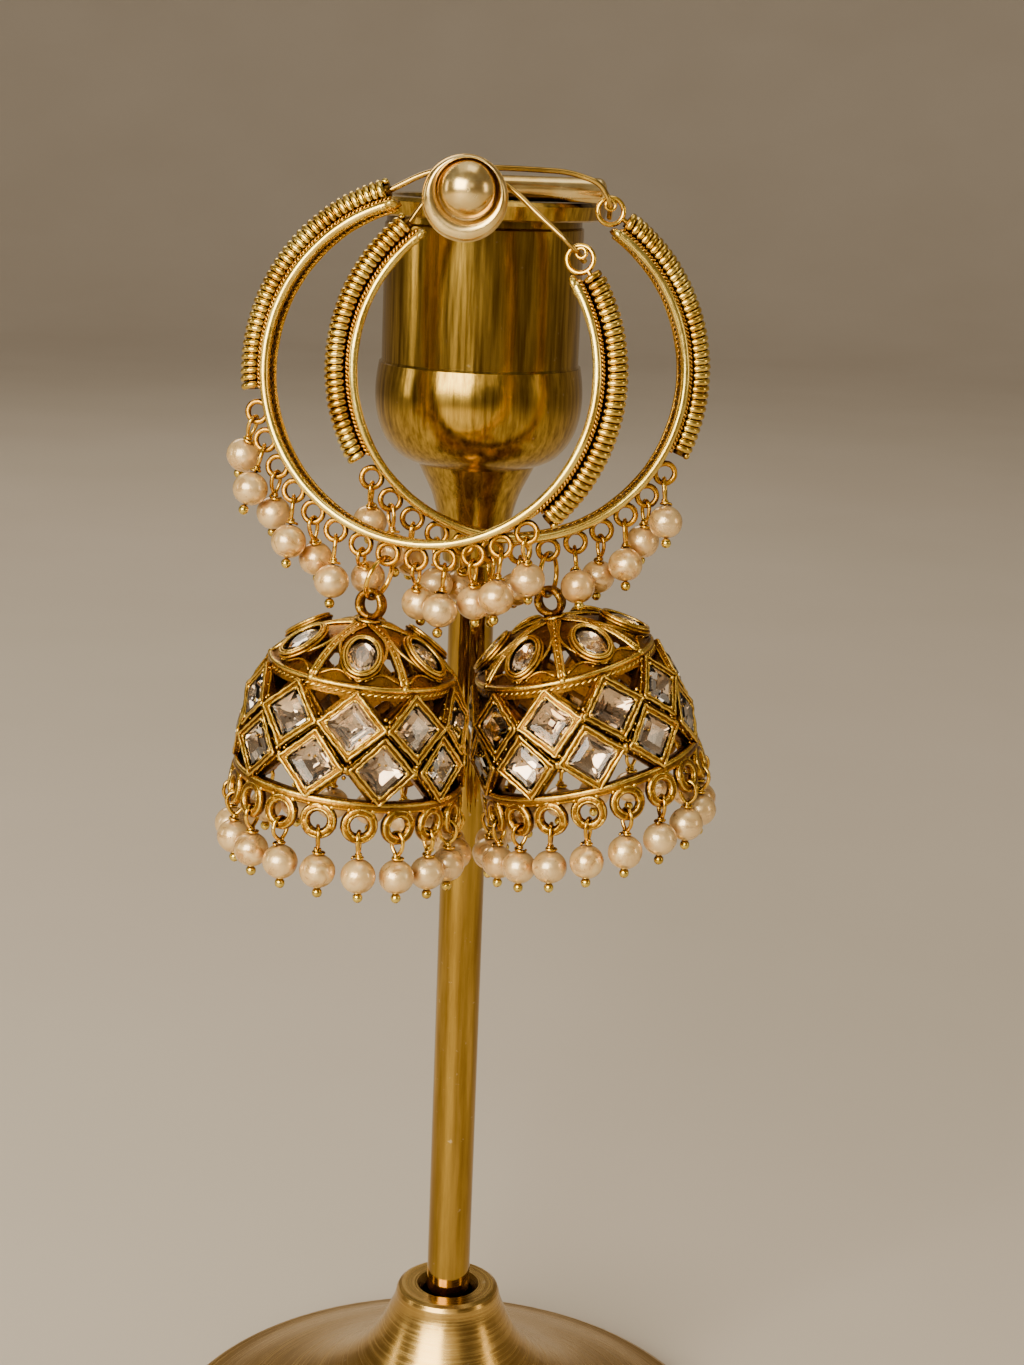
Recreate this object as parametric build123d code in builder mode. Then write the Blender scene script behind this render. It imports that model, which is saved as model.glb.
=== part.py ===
from build123d import *
import os
from math import atan2, cos, degrees, pi, radians, sin, sqrt, tan

# Pair of jhumka hoop earrings hanging on a round-footed candlestick.
# Millimetres, +Z up, origin at the middle of the foot's underside.
# The earrings hang in front of the cup, on the -Y side.

os.makedirs("parts", exist_ok=True)

# ---------------------------------------------------------------- stand
foot_r = 40.0            # foot radius
foot_edge_h = 4.2        # height of the foot's rounded edge
collar_r = 6.9           # top of the foot's neck
collar_z = 28.0
socket_r = 3.5           # socket round the stem, in the foot
socket_mouth_r = 4.3
socket_floor_z = 12.0
stem_r = 2.95
stem_top_z = 139.0
cup_socket_r = 3.05      # socket in the cup's neck
cup_floor_z = 152.5
cup_bore_r = 11.1        # takes a 22 mm taper candle
lip_r = 15.3
lip_top_z = 176.8
lip_low_z = 174.5
cup_wall_r = 12.45       # outside of the straight part of the cup

# radius and height of the foot's upper surface, from the collar outwards
FOOT_COLUMNS = ("r", "z")
FOOT_TABLE = (
    (collar_r + 0.25, collar_z - 0.9),
    (7.9, 24.6),
    (9.9, 20.6),
    (13.4, 16.4),
    (18.6, 12.6),
    (25.5, 9.2),
    (33.0, 6.3),
    (foot_r - 1.2, foot_edge_h),
)
# radius and height of the cup's outside, from the bead above the neck down
NECK_COLUMNS = ("r", "z")
NECK_TABLE = (
    (7.5, 143.5),
    (6.55, 141.6),
    (5.75, 139.9),
    (4.95, 137.3),
    (4.35, 134.4),
    (3.95, 131.0),
)
BULB_COLUMNS = ("r", "z")
BULB_TABLE = (
    (12.75, 156.2),
    (13.15, 152.2),
    (12.75, 149.0),
    (11.5, 146.2),
    (8.6, 143.9),
)

# ---------------------------------------------------------------- hanger
rod_r = 1.5              # rod lying on the lip; its peg carries the ear wires
rod_z = lip_top_z + 0.08 + rod_r
rod_bend = 2.4
peg_x = -2.1
peg_back_y = -12.9
flange_y = -23.5
flange_t = 0.95
flange_r = 4.95
flange_drop = 1.0        # the flange sits a little low on its peg
dome_r = 3.3
dome_h = 2.7
bar_end = (14.4, -9.3)   # plan position of the bar's free end

# ---------------------------------------------------------------- hoops
hoop_r = 19.9            # middle of the band
band_t = 0.6
edge_wire_r = 0.55
hoop_w = 4.2             # over both edge wires
gap_half = 36.0          # half of the opening at the top, degrees
coil_span = 82.0
coil_r = 1.5
coil_core_r = 0.5
coil_clear = 0.06
eyelet_count = 13
eyelet_pitch = 9.2       # degrees
bell_eyelet = 5          # counted from the right-hand coil
eyelet_ring_r = 1.2      # middle of the eyelet's wire
eyelet_wire_r = 0.35
ear_wire_r = 0.35
catch_ring_r = 1.55
catch_wire_r = 0.3
wire_in_coil = 12.0      # degrees of coil that hold the wire's end

coil_mid_r = hoop_r + band_t / 2 + coil_r + coil_clear
eyelet_mid_r = hoop_r + band_t / 2 + eyelet_ring_r + eyelet_wire_r - 0.12

# name, middle of the hoop, turn about Z, lean (foot of the hoop forward),
# and the middle of the eyelet arc, clockwise from the top
HOOP_COLUMNS = ("name", "x", "y", "z", "turn", "lean", "arc_mid")
HOOP_TABLE = (
    ("a", -5.6, -23.5, 157.2, -13.0, 8.0, 199.5),
    ("b", 4.7, -16.9, 157.1, 6.0, 4.0, 178.0),
)
# how far each pearl drop is swung forward and to the left, counted from the
# right-hand coil
SWING_COLUMNS = ("forward", "left")
HOOP_SWING = {
    "a": (
        (-17, 0), (19, 0), (-15, 0), (19, 0), (-24, 0), None, (-45, 0),
        (15, 0), (-18, 0), (19, 0), (-17, 8), (19, 12), (-17, 20),
    ),
    "b": (
        (25, 0), (-17, 0), (19, 0), (-15, 0), (42, 0), None, (-36, 0),
        (12, 0), (-26, 0), (8, 0), (-30, 0), (12, -4), (-24, 0),
    ),
}

# route of each ear wire in its hoop's plane: across, up and forward
WIRE_COLUMNS = ("across", "up", "forward")
WIRE_TABLE = {
    "a": (
        (-2.3, 22.95, 0.0),
        (1.6, 23.75, 0.0),
        (4.7, 23.45, 0.0),
        (8.6, 21.3, 0.35),
        (11.4, 18.9, 1.1),
        (15.8, 15.4, 1.55),
        (16.9, 13.9, -1.3),
    ),
    "b": (
        (-12.4, 18.6, 0.0),
        (-10.0, 21.9, 0.0),
        (-6.6, 23.65, 0.0),
        (-1.5, 23.7, 0.0),
        (5.2, 23.5, 0.35),
        (8.9, 22.3, 0.95),
        (10.2, 20.0, 1.0),
        (10.4, 18.4, -1.2),
    ),
}

# ---------------------------------------------------------------- jump rings
jump_ring_r = 2.6
jump_wire_r = 0.3
link_clear = 0.05

# ---------------------------------------------------------------- bells
# name, lean outwards about Y, turn of the bell on its own axis,
# turn of its petals, lean of the jump ring, turn of the jump ring's plane
BELL_COLUMNS = ("name", "lean", "spin", "petal_spin", "ring_lean", "ring_turn")
BELL_TABLE = (
    ("a", -6.2, 0.0, 0.0, -18.0, -27.0),
    ("b", 15.8, -14.7, -18.0, 3.0, -24.0),
)
bail_ring_r = 1.55       # middle of each of the bail's two loops
bail_wire_r = 0.45
bail_splay = 12.0
crown_z = -3.1           # heights are below the bail's bearing point
crown_r = 1.5
cap_rim_z = -8.3
cap_rim_r = 10.75
cap_mid_r = 6.9          # the cap's slope passes through here
cap_mid_drop = 1.75
cap_t = 0.8
rim_wire_r = 0.45
band_z = -21.7
band_r = 13.35
band_wire_r = 0.5
petals = 6
petal_z = -5.58
petal_r = 8.05
petal_slope = 55.0
bezel_half_w = 1.7
bezel_half_l = 2.55
bezel_t = 0.6
bezel_proud = 0.75
# corners of the window beside each bezel, in the petal's plane
PETAL_WINDOW_COLUMNS = ("around", "up")
PETAL_WINDOW = ((2.65, -1.6), (4.6, -1.5), (3.2, 1.75), (2.5, 1.6))
collets = 10             # in each of the two rows
collet_side = 5.8
collet_wall = 0.7
collet_depth = 2.1
collet_proud = 0.45
ROW_COLUMNS = ("z", "r", "slope", "offset")
ROW_TABLE = (
    (-12.6, 12.25, 15.0, 0.0),
    (-17.4, 13.05, 6.0, 0.5),
)
stone_clear = 0.06
bell_eyelets = 18
bell_eyelet_ring_r = 1.6
bell_eyelet_wire_r = 0.6
bell_eyelet_slope = 4.0
bell_eyelet_r = 13.5
bell_eyelet_z = band_z - 2.15
# wall behind the collets, and the windows between it and the rim and band
wall_t = 0.75
wall_back = 1.5          # from the collets' middles in to the wall's inner face
WINDOW_COLUMNS = ("around", "up")
LOW_WINDOW = ((0.0, 1.7), (-2.9, -1.3), (2.9, -1.3))
TOP_WINDOW = ((0.0, -1.4), (2.1, 0.9), (-2.1, 0.9))
low_window_z, low_window_r = -19.7, 13.1
top_window_z, top_window_r = -10.3, 11.6

# ---------------------------------------------------------------- pearl drops
pearl_r = 2.1
pearl_bore_r = 0.32
pin_r = 0.2
ball_r = 0.6
wrap_r = 0.42
# loop half-width, straight length, and wrap length for each kind of drop
DROP_COLUMNS = ("loop_r", "straight", "wrap")
HOOP_DROP = (0.8, 1.3, 0.4)
BELL_DROP = (0.95, 0.9, 0.4)


def turn(vector, axis, angle):
    """vector turned about axis by angle degrees."""
    return vector.rotate(Axis((0, 0, 0), axis), angle)


def hoop_frame(row):
    """Middle, across, up and forward directions of a hoop."""
    _, x, y, z, yaw, lean, _ = row
    across = turn(Vector(1, 0, 0), (0, 0, 1), yaw)
    up = turn(Vector(0, 0, 1), across, -lean)
    return Vector(x, y, z), across, up, across.cross(up)


def hoop_plane(row, theta):
    """Section plane at theta, clockwise from the top: x outwards, y forward."""
    mid, across, up, forward = hoop_frame(row)
    t = radians(theta)
    radial = across * sin(t) + up * cos(t)
    along = across * cos(t) - up * sin(t)
    return Plane(origin=mid, x_dir=radial, z_dir=along)


def hoop_point(row, theta, radius, forward_by=0.0):
    plane = hoop_plane(row, theta)
    return plane.origin + plane.x_dir * radius + plane.y_dir * forward_by


def eyelet_theta(row, index):
    return row[6] + (index - (eyelet_count - 1) / 2) * eyelet_pitch


def lowest(centre, normal, radius, down=Vector(0, 0, -1)):
    """Point of a ring of that radius that lies furthest down."""
    down = down - normal * down.dot(normal)
    return centre + down.normalized() * radius


def hanging(towards, swing):
    """Upward direction along a drop swung by that angle towards a side."""
    towards = Vector(towards.X, towards.Y, 0).normalized()
    return Vector(0, 0, 1) * cos(radians(swing)) - towards * sin(radians(swing))


def bell_frame(row, pivot):
    """Plane at the bail's bearing point: z up the bell's axis."""
    _, lean, spin, _, _, _ = row
    axis = turn(Vector(0, 0, 1), (0, 1, 0), -lean)
    front = turn(Vector(0, -1, 0), axis, spin)
    return Plane(origin=pivot, x_dir=front, z_dir=axis)


def on_bell(plane, azimuth, radius, z):
    a = radians(azimuth)
    return (
        plane.origin
        + plane.x_dir * (radius * cos(a))
        + plane.y_dir * (radius * sin(a))
        + plane.z_dir * z
    )


def face_plane(plane, azimuth, radius, z, slope):
    """Plane lying on the bell's wall: z outwards, y up the slope."""
    a = radians(azimuth)
    radial = plane.x_dir * cos(a) + plane.y_dir * sin(a)
    around = plane.y_dir * cos(a) - plane.x_dir * sin(a)
    outwards = radial * cos(radians(slope)) + plane.z_dir * sin(radians(slope))
    return Plane(origin=on_bell(plane, azimuth, radius, z), x_dir=around, z_dir=outwards)


def on_corner(plane):
    """The same plane turned 45 degrees about its normal."""
    return Plane(origin=plane.origin, x_dir=plane.x_dir + plane.y_dir, z_dir=plane.z_dir)


def drop_length(drop, wire_r):
    """From the carrying wire's middle down to the pearl's middle."""
    loop_r, straight, wrap = drop
    top = wire_r + link_clear - (loop_r - pin_r)
    return -(top - straight - loop_r - pin_r - wrap - pearl_r + 0.1)


# ================================================================ stand
with BuildPart() as stand_base:
    with BuildSketch(Plane.XZ) as foot_section:
        with BuildLine():
            Polyline((0, 0), (foot_r - 1.0, 0), (foot_r, 1.0), (foot_r, foot_edge_h - 1.2))
            rim_to = FOOT_TABLE[-1]
            RadiusArc((foot_r, foot_edge_h - 1.2), rim_to, -1.5)
            Spline(*reversed(FOOT_TABLE), tangents=[(-1, 0.22), (-0.12, 1)])
            Polyline(
                FOOT_TABLE[0],
                (collar_r, collar_z - 0.35),
                (collar_r - 0.5, collar_z),
                (socket_mouth_r, collar_z),
                (socket_r, collar_z - 1.0),
                (socket_r, socket_floor_z),
                (0, socket_floor_z),
                (0, 0),
            )
        make_face()
    revolve(axis=Axis.Z)
stand_base.part.label = "stand_base"
export_step(stand_base.part, "parts/stand_base.step")

with BuildPart() as stand_stem:
    with BuildSketch(Plane.XY.offset(socket_floor_z + 0.05)):
        Circle(stem_r)
    extrude(amount=stem_top_z - socket_floor_z - 0.05)
    chamfer(stand_stem.edges().filter_by(GeomType.CIRCLE), 0.3)
stand_stem.part.label = "stand_stem"
export_step(stand_stem.part, "parts/stand_stem.step")

with BuildPart() as stand_cup:
    with BuildSketch(Plane.XZ):
        with BuildLine():
            neck_low = NECK_TABLE[-1]
            Polyline(
                (cup_bore_r, cup_floor_z + 0.6),
                (cup_bore_r, lip_top_z - 0.4),
                (cup_bore_r + 0.4, lip_top_z),
                (lip_r - 0.5, lip_top_z),
                (lip_r, lip_top_z - 0.5),
                (lip_r - 0.35, lip_low_z + 0.2),
                (lip_r - 0.7, lip_low_z),
                (cup_wall_r - 0.25, lip_low_z),
                (cup_wall_r - 0.25, lip_low_z - 0.9),
                (cup_wall_r, lip_low_z - 1.2),
                (cup_wall_r, BULB_TABLE[0][1] + 0.3),
                (cup_wall_r + 0.15, BULB_TABLE[0][1]),
                BULB_TABLE[0],
            )
            Spline(*BULB_TABLE)
            Line(BULB_TABLE[-1], NECK_TABLE[0])
            Spline(*NECK_TABLE)
            Polyline(
                neck_low,
                (neck_low[0] - 0.35, neck_low[1] - 0.4),
                (cup_socket_r, neck_low[1] - 0.4),
                (cup_socket_r, stem_top_z + 0.4),
                (0, stem_top_z + 0.4),
                (0, cup_floor_z),
                (cup_bore_r - 0.6, cup_floor_z),
                (cup_bore_r, cup_floor_z + 0.6),
            )
        make_face()
    revolve(axis=Axis.Z)
stand_cup.part.label = "stand_cup"
export_step(stand_cup.part, "parts/stand_cup.step")

with BuildPart() as hanger:
    # one bent rod: along the lip, then forward to the flange
    with BuildLine() as rod_line:
        FilletPolyline(
            (bar_end[0], bar_end[1], rod_z),
            (peg_x, peg_back_y, rod_z),
            (peg_x, flange_y - 0.3, rod_z),
            radius=rod_bend,
        )
    with BuildSketch(Plane(origin=rod_line.line @ 0, z_dir=rod_line.line % 0)):
        Circle(rod_r)
    sweep()
    fillet(hanger.faces().sort_by(Axis.X)[-1].edges(), rod_r * 0.62)
    # flange and domed end
    with BuildSketch(
        Plane(origin=(peg_x - 0.25, flange_y, rod_z - flange_drop), x_dir=(1, 0, 0), z_dir=(0, -1, 0))
    ):
        Circle(flange_r)
    extrude(amount=flange_t)
    with BuildSketch(Plane(origin=(peg_x, 0, 0), x_dir=(0, -1, 0), z_dir=(-1, 0, 0))):
        front = -(flange_y - flange_t)
        # the dome is part of a ball centred on the peg's axis
        cap = dome_h - 0.3
        ball_r_dome = (dome_r**2 + cap**2) / (2 * cap)
        ball_at = front + dome_h - ball_r_dome
        half = atan2(dome_r, front + 0.3 - ball_at) / 2
        with BuildLine():
            Polyline(
                (front + dome_h, rod_z),
                (front - 0.3, rod_z),
                (front - 0.3, rod_z + dome_r),
                (front + 0.3, rod_z + dome_r),
            )
            ThreePointArc(
                (front + 0.3, rod_z + dome_r),
                (ball_at + ball_r_dome * cos(half), rod_z + ball_r_dome * sin(half)),
                (front + dome_h, rod_z),
            )
        make_face()
    revolve(axis=Axis((peg_x, 0, rod_z), (0, -1, 0)))
hanger.part.label = "hanger"
export_step(hanger.part, "parts/hanger.step")

# ================================================================ drops
drop_kinds = {"hoop": (HOOP_DROP, eyelet_wire_r), "bell": (BELL_DROP, bell_eyelet_wire_r)}
pin_solid, pearl_solid = {}, {}
for kind, (drop, carrier_r) in drop_kinds.items():
    loop_r, straight, wrap = drop
    loop_top = carrier_r + link_clear - (loop_r - pin_r)
    loop_low = loop_top - straight
    eye_z = loop_low - loop_r - pin_r
    bead_z = -drop_length(drop, carrier_r)
    # headpin: long closed loop, wrapped neck, shank through the pearl, ball end
    with BuildPart() as pin:
        for centre_z, start in ((loop_top, 0), (loop_low, 180)):
            with BuildSketch(
                Plane(origin=(0, 0, centre_z), x_dir=(0, cos(radians(start)), 0), z_dir=(0, 0, 1))
            ):
                with Locations((loop_r, 0)):
                    Circle(pin_r)
            revolve(axis=Axis((0, 0, centre_z), (1, 0, 0)), revolution_arc=180)
        with BuildSketch(Plane.XY.offset(loop_low)):
            with Locations((0, loop_r), (0, -loop_r)):
                Circle(pin_r)
        extrude(amount=straight)
        with BuildSketch(Plane.XY.offset(eye_z + 0.12)):
            Circle(wrap_r)
        extrude(amount=-wrap)
        with BuildSketch(Plane.XY.offset(eye_z)):
            Circle(pin_r)
        extrude(amount=-(eye_z - bead_z + pearl_r + ball_r * 0.6))
        with Locations((0, 0, bead_z - pearl_r - ball_r + 0.08)):
            Sphere(ball_r)
    pin_solid[kind] = pin.part
    # pearl with its drilled hole
    with BuildPart() as pearl:
        with Locations((0, 0, bead_z)):
            Sphere(pearl_r)
            Cylinder(pearl_bore_r, 3 * pearl_r, mode=Mode.SUBTRACT)
    pearl_solid[kind] = pearl.part


def bend_radii(points):
    """Largest bend at each corner that keeps to 0.45 of the shorter run."""
    radii = []
    for before, corner, after in zip(points, points[1:], points[2:]):
        run = min((corner - before).length, (after - corner).length)
        angle = (corner - before).get_angle(after - corner)
        radii.append(0.45 * run / tan(radians(angle) / 2))
    return radii


def drop_place(centre, normal, radius, facing, towards, swing):
    """Where a drop hangs in a ring: its loop's plane is square to facing, and
    it is swung by that angle towards a side."""
    up = hanging(towards, swing)
    facing = (facing - up * facing.dot(up)).normalized()
    return Location(Plane(origin=lowest(centre, normal, radius, -up), x_dir=facing, z_dir=up))


# ================================================================ earrings
made = {}
for hoop_row, bell_row in zip(HOOP_TABLE, BELL_TABLE):
    name = hoop_row[0]
    arc_mid = hoop_row[6]
    mid, across, up, forward = hoop_frame(hoop_row)
    axis = Axis(mid, -forward)
    start = arc_mid - 180 + gap_half
    # the band runs clockwise from the right-hand side of the gap to the left
    band_arc = 360 - 2 * gap_half

    # band, edge wires and eyelets, soldered into one
    with BuildPart() as hoop:
        with BuildSketch(hoop_plane(hoop_row, start)):
            with Locations((hoop_r, 0)):
                Rectangle(band_t, hoop_w - 2 * edge_wire_r)
            with Locations((hoop_r, hoop_w / 2 - edge_wire_r), (hoop_r, edge_wire_r - hoop_w / 2)):
                Circle(edge_wire_r)
        revolve(axis=axis, revolution_arc=band_arc)
        for index in range(eyelet_count):
            theta = eyelet_theta(hoop_row, index)
            place = Plane(origin=hoop_point(hoop_row, theta, eyelet_mid_r), x_dir=across, z_dir=forward)
            with Locations(place):
                Torus(eyelet_ring_r, eyelet_wire_r)
    made[name + "_hoop"] = hoop.part

    # wound coils, each as one tube along its arc
    for side, from_theta in (("coil_right", start), ("coil_left", start + band_arc - coil_span)):
        with BuildPart() as coil:
            with BuildSketch(hoop_plane(hoop_row, from_theta)):
                with Locations((coil_mid_r, 0)):
                    Circle(coil_r)
                    Circle(coil_core_r, mode=Mode.SUBTRACT)
            revolve(axis=axis, revolution_arc=coil_span)
        made[name + "_" + side] = coil.part

    # ear wire: its root lies in the left-hand coil, its tip goes through the catch
    end = start + band_arc
    root = [hoop_point(hoop_row, end - wire_in_coil * f, coil_mid_r) for f in (1.0, 0.5, 0.0)]
    route = [root[-1]] + [mid + across * a + up * b + forward * c for a, b, c in WIRE_TABLE[name]]
    radii = bend_radii(route)
    with BuildPart() as ear_wire:
        with BuildLine() as wire_line:
            ThreePointArc(*root)
            FilletPolyline(*route, radius=radii)
        with BuildSketch(Plane(origin=wire_line.line @ 0, z_dir=wire_line.line % 0)):
            Circle(ear_wire_r)
        sweep()
    made[name + "_ear_wire"] = ear_wire.part
    run = sum(edge.length for edge in wire_line.edges())
    print(name, "ear wire bends", [round(r, 2) for r in radii], "run", round(run, 2),
          "volume", round(ear_wire.part.volume, 3), "of", round(run * pi * ear_wire_r**2, 3))

    # catch loop on a short root in the right-hand coil
    loop_theta = start - degrees((catch_ring_r + 0.55) / coil_mid_r)
    root_from = loop_theta + degrees((catch_ring_r - 0.05) / coil_mid_r)
    with BuildPart() as catch:
        with BuildSketch(hoop_plane(hoop_row, root_from)):
            with Locations((coil_mid_r, 0)):
                Circle(catch_wire_r * 0.98)
        revolve(axis=axis, revolution_arc=start - root_from + wire_in_coil * 0.5)
        with Locations(Plane(origin=hoop_point(hoop_row, loop_theta, coil_mid_r), x_dir=across, z_dir=forward)):
            Torus(catch_ring_r, catch_wire_r)
    made[name + "_catch_loop"] = catch.part

    # pearl drops on every eyelet but the bell's
    spots = []
    for index, swing in enumerate(HOOP_SWING[name]):
        if index == bell_eyelet:
            continue
        centre = hoop_point(hoop_row, eyelet_theta(hoop_row, index), eyelet_mid_r)
        facing = turn(across, (0, 0, 1), 18 if index % 2 else -18)
        ahead, aside = swing
        towards = forward * ahead - across * aside
        spots.append(drop_place(centre, forward, eyelet_ring_r, facing, towards, sqrt(ahead**2 + aside**2)))
    with BuildPart() as hoop_pins:
        with Locations(*spots):
            add(pin_solid["hoop"])
    made[name + "_hoop_pins"] = hoop_pins.part
    with BuildPart() as hoop_pearls:
        with Locations(*spots):
            add(pearl_solid["hoop"])
    made[name + "_hoop_pearls"] = hoop_pearls.part

    # jump ring through the bell's eyelet
    _, lean, spin, petal_spin, ring_lean, ring_turn = bell_row
    centre = hoop_point(hoop_row, eyelet_theta(hoop_row, bell_eyelet), eyelet_mid_r)
    hang = turn(Vector(0, 0, -1), (0, 1, 0), -ring_lean)
    hook = lowest(centre, forward, eyelet_ring_r, hang)
    ring_normal = turn(Vector(1, 0, 0), (0, 0, 1), ring_turn)
    ring_normal = (ring_normal - hang * ring_normal.dot(hang)).normalized()
    ring_mid = hook + hang * (jump_ring_r - jump_wire_r - eyelet_wire_r - link_clear)
    with BuildPart() as jump_ring:
        with Locations(Plane(origin=ring_mid, x_dir=hang, z_dir=ring_normal)):
            Torus(jump_ring_r, jump_wire_r)
    made[name + "_jump_ring"] = jump_ring.part
    pivot = ring_mid + hang * jump_ring_r
    print(name, "eyelet bearing", tuple(round(c, 4) for c in hook), "bail bearing", tuple(round(c, 4) for c in pivot))

    # bell: cap, bail, collets, band and eyelets, soldered into one
    frame = bell_frame(bell_row, pivot)
    bell_axis = Axis(frame.origin, frame.z_dir)
    bail_z = jump_wire_r + link_clear + bail_wire_r - bail_ring_r
    bail_normal = ring_normal.cross(hang)
    bail_normal = (bail_normal - frame.z_dir * bail_normal.dot(frame.z_dir)).normalized()
    petal_planes = [
        face_plane(frame, petal_spin + 360 / petals * k, petal_r, petal_z, petal_slope)
        for k in range(petals)
    ]
    collet_planes = [
        on_corner(face_plane(frame, (k + offset) * 360 / collets, r, z, slope))
        for z, r, slope, offset in ROW_TABLE
        for k in range(collets)
    ]
    eyelet_planes = [
        face_plane(frame, (k + 0.5) * 360 / bell_eyelets, bell_eyelet_r, bell_eyelet_z, bell_eyelet_slope)
        for k in range(bell_eyelets)
    ]
    section = Plane(origin=frame.origin, x_dir=frame.x_dir, z_dir=frame.x_dir.cross(frame.z_dir))
    row_r = [row[1] for row in ROW_TABLE]
    row_z = [row[0] for row in ROW_TABLE]
    wall_line = (
        (cap_rim_r + 0.35, cap_rim_z),
        (row_r[0] - wall_back + wall_t, row_z[0]),
        (row_r[1] - wall_back + wall_t, row_z[1]),
        (band_r - 0.3, band_z),
    )
    with BuildPart() as bell:
        # thin wall, with the collets of both rows on it
        with BuildSketch(section):
            with BuildLine():
                Polyline(*wall_line, *[(r - wall_t, z) for r, z in wall_line[::-1]], close=True)
            make_face()
        revolve(axis=bell_axis)
        with Locations(*[p.offset(collet_proud - collet_depth / 2) for p in collet_planes]):
            Box(collet_side, collet_side, collet_depth)
        # windows above and below the collets, then the square seats through them
        for k in range(collets):
            for turn_by, r, z, shape in (
                (k, low_window_r, low_window_z, LOW_WINDOW),
                (k + 0.5, top_window_r, top_window_z, TOP_WINDOW),
            ):
                with BuildSketch(face_plane(frame, turn_by * 360 / collets, r, z, 8).offset(-3)):
                    Polygon(*shape, align=None)
                extrude(amount=5, mode=Mode.SUBTRACT)
        seat = collet_side - 2 * collet_wall
        with Locations(*[p.offset(collet_proud - collet_depth / 2) for p in collet_planes]):
            Box(seat, seat, collet_depth + 1.6, mode=Mode.SUBTRACT)
        # cap
        with BuildSketch(section):
            with BuildLine():
                Polyline((0, crown_z - cap_t), (0, crown_z + 0.5), (crown_r - 0.3, crown_z + 0.5), (crown_r, crown_z))
                ThreePointArc(
                    (crown_r, crown_z),
                    (cap_mid_r, crown_z - cap_mid_drop),
                    (cap_rim_r + 0.1, cap_rim_z + 0.25),
                )
                Line((cap_rim_r + 0.1, cap_rim_z + 0.25), (cap_rim_r - 0.7, cap_rim_z - 0.15))
                ThreePointArc(
                    (cap_rim_r - 0.7, cap_rim_z - 0.15),
                    (cap_mid_r - 0.4, crown_z - cap_mid_drop - cap_t),
                    (crown_r, crown_z - cap_t),
                )
                Line((crown_r, crown_z - cap_t), (0, crown_z - cap_t))
            make_face()
        revolve(axis=bell_axis)
        for plane in petal_planes:
            with BuildSketch(plane.offset(-1.5)):
                for side in (1, -1):
                    Polygon(*[(side * x, y) for x, y in PETAL_WINDOW][::side], align=None)
            extrude(amount=3.5, mode=Mode.SUBTRACT)
            with BuildSketch(plane.offset(-0.9)):
                Ellipse(bezel_half_w + bezel_t, bezel_half_l + bezel_t)
            extrude(amount=0.9 + bezel_proud)
            with BuildSketch(plane.offset(-1.6)):
                Ellipse(bezel_half_w, bezel_half_l)
            extrude(amount=3.5, mode=Mode.SUBTRACT)
        # rim of the cap and the band
        with Locations(Plane(origin=on_bell(frame, 0, 0, cap_rim_z), z_dir=frame.z_dir)):
            Torus(cap_rim_r, rim_wire_r)
        with Locations(Plane(origin=on_bell(frame, 0, 0, band_z), z_dir=frame.z_dir)):
            Torus(band_r, band_wire_r)
        # eyelets
        with Locations(*eyelet_planes):
            Torus(bell_eyelet_ring_r, bell_eyelet_wire_r)
        # bail of two splayed loops
        bail_mid = on_bell(frame, 0, 0, bail_z)
        with Locations(
            *[
                Plane(origin=bail_mid, x_dir=frame.z_dir, z_dir=turn(bail_normal, frame.z_dir, splay))
                for splay in (-bail_splay, bail_splay)
            ]
        ):
            Torus(bail_ring_r, bail_wire_r)
    made[name + "_bell"] = bell.part

    # stones, in their seats
    with BuildPart() as stones:
        side = seat - 2 * stone_clear
        for plane in collet_planes:
            with BuildSketch(plane.offset(-0.15)):
                Rectangle(side, side)
            extrude(amount=1.15, taper=38)
            with BuildSketch(plane.offset(-0.15)):
                Rectangle(side, side)
            extrude(amount=-1.35, taper=42)
        for plane in petal_planes:
            with BuildSketch(plane.offset(0.25)):
                Ellipse(bezel_half_w - stone_clear, bezel_half_l - stone_clear)
            with BuildSketch(plane.offset(0.95)):
                Ellipse(bezel_half_w * 0.5, bezel_half_l * 0.55)
            loft()
            with BuildSketch(plane.offset(0.25)):
                Ellipse(bezel_half_w - stone_clear, bezel_half_l - stone_clear)
            with BuildSketch(plane.offset(-0.75)):
                Ellipse(bezel_half_w * 0.3, bezel_half_l * 0.3)
            loft()
    made[name + "_bell_stones"] = stones.part

    # pearl drops under the bell
    spots = []
    for k, plane in enumerate(eyelet_planes):
        radial = Vector(plane.z_dir.X, plane.z_dir.Y, 0).normalized()
        facing = turn(Vector(-radial.Y, radial.X, 0), (0, 0, 1), 16 if k % 2 else -16)
        spots.append(drop_place(plane.origin, plane.z_dir, bell_eyelet_ring_r, facing, radial, 0))
    with BuildPart() as bell_pins:
        with Locations(*spots):
            add(pin_solid["bell"])
    made[name + "_bell_pins"] = bell_pins.part
    with BuildPart() as bell_pearls:
        with Locations(*spots):
            add(pearl_solid["bell"])
    made[name + "_bell_pearls"] = bell_pearls.part

for label, piece in made.items():
    piece.label = label
    export_step(piece, "parts/" + label + ".step")
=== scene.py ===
import math
import random

import bmesh
import bpy
import numpy as np
from mathutils import Matrix, Vector


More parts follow.
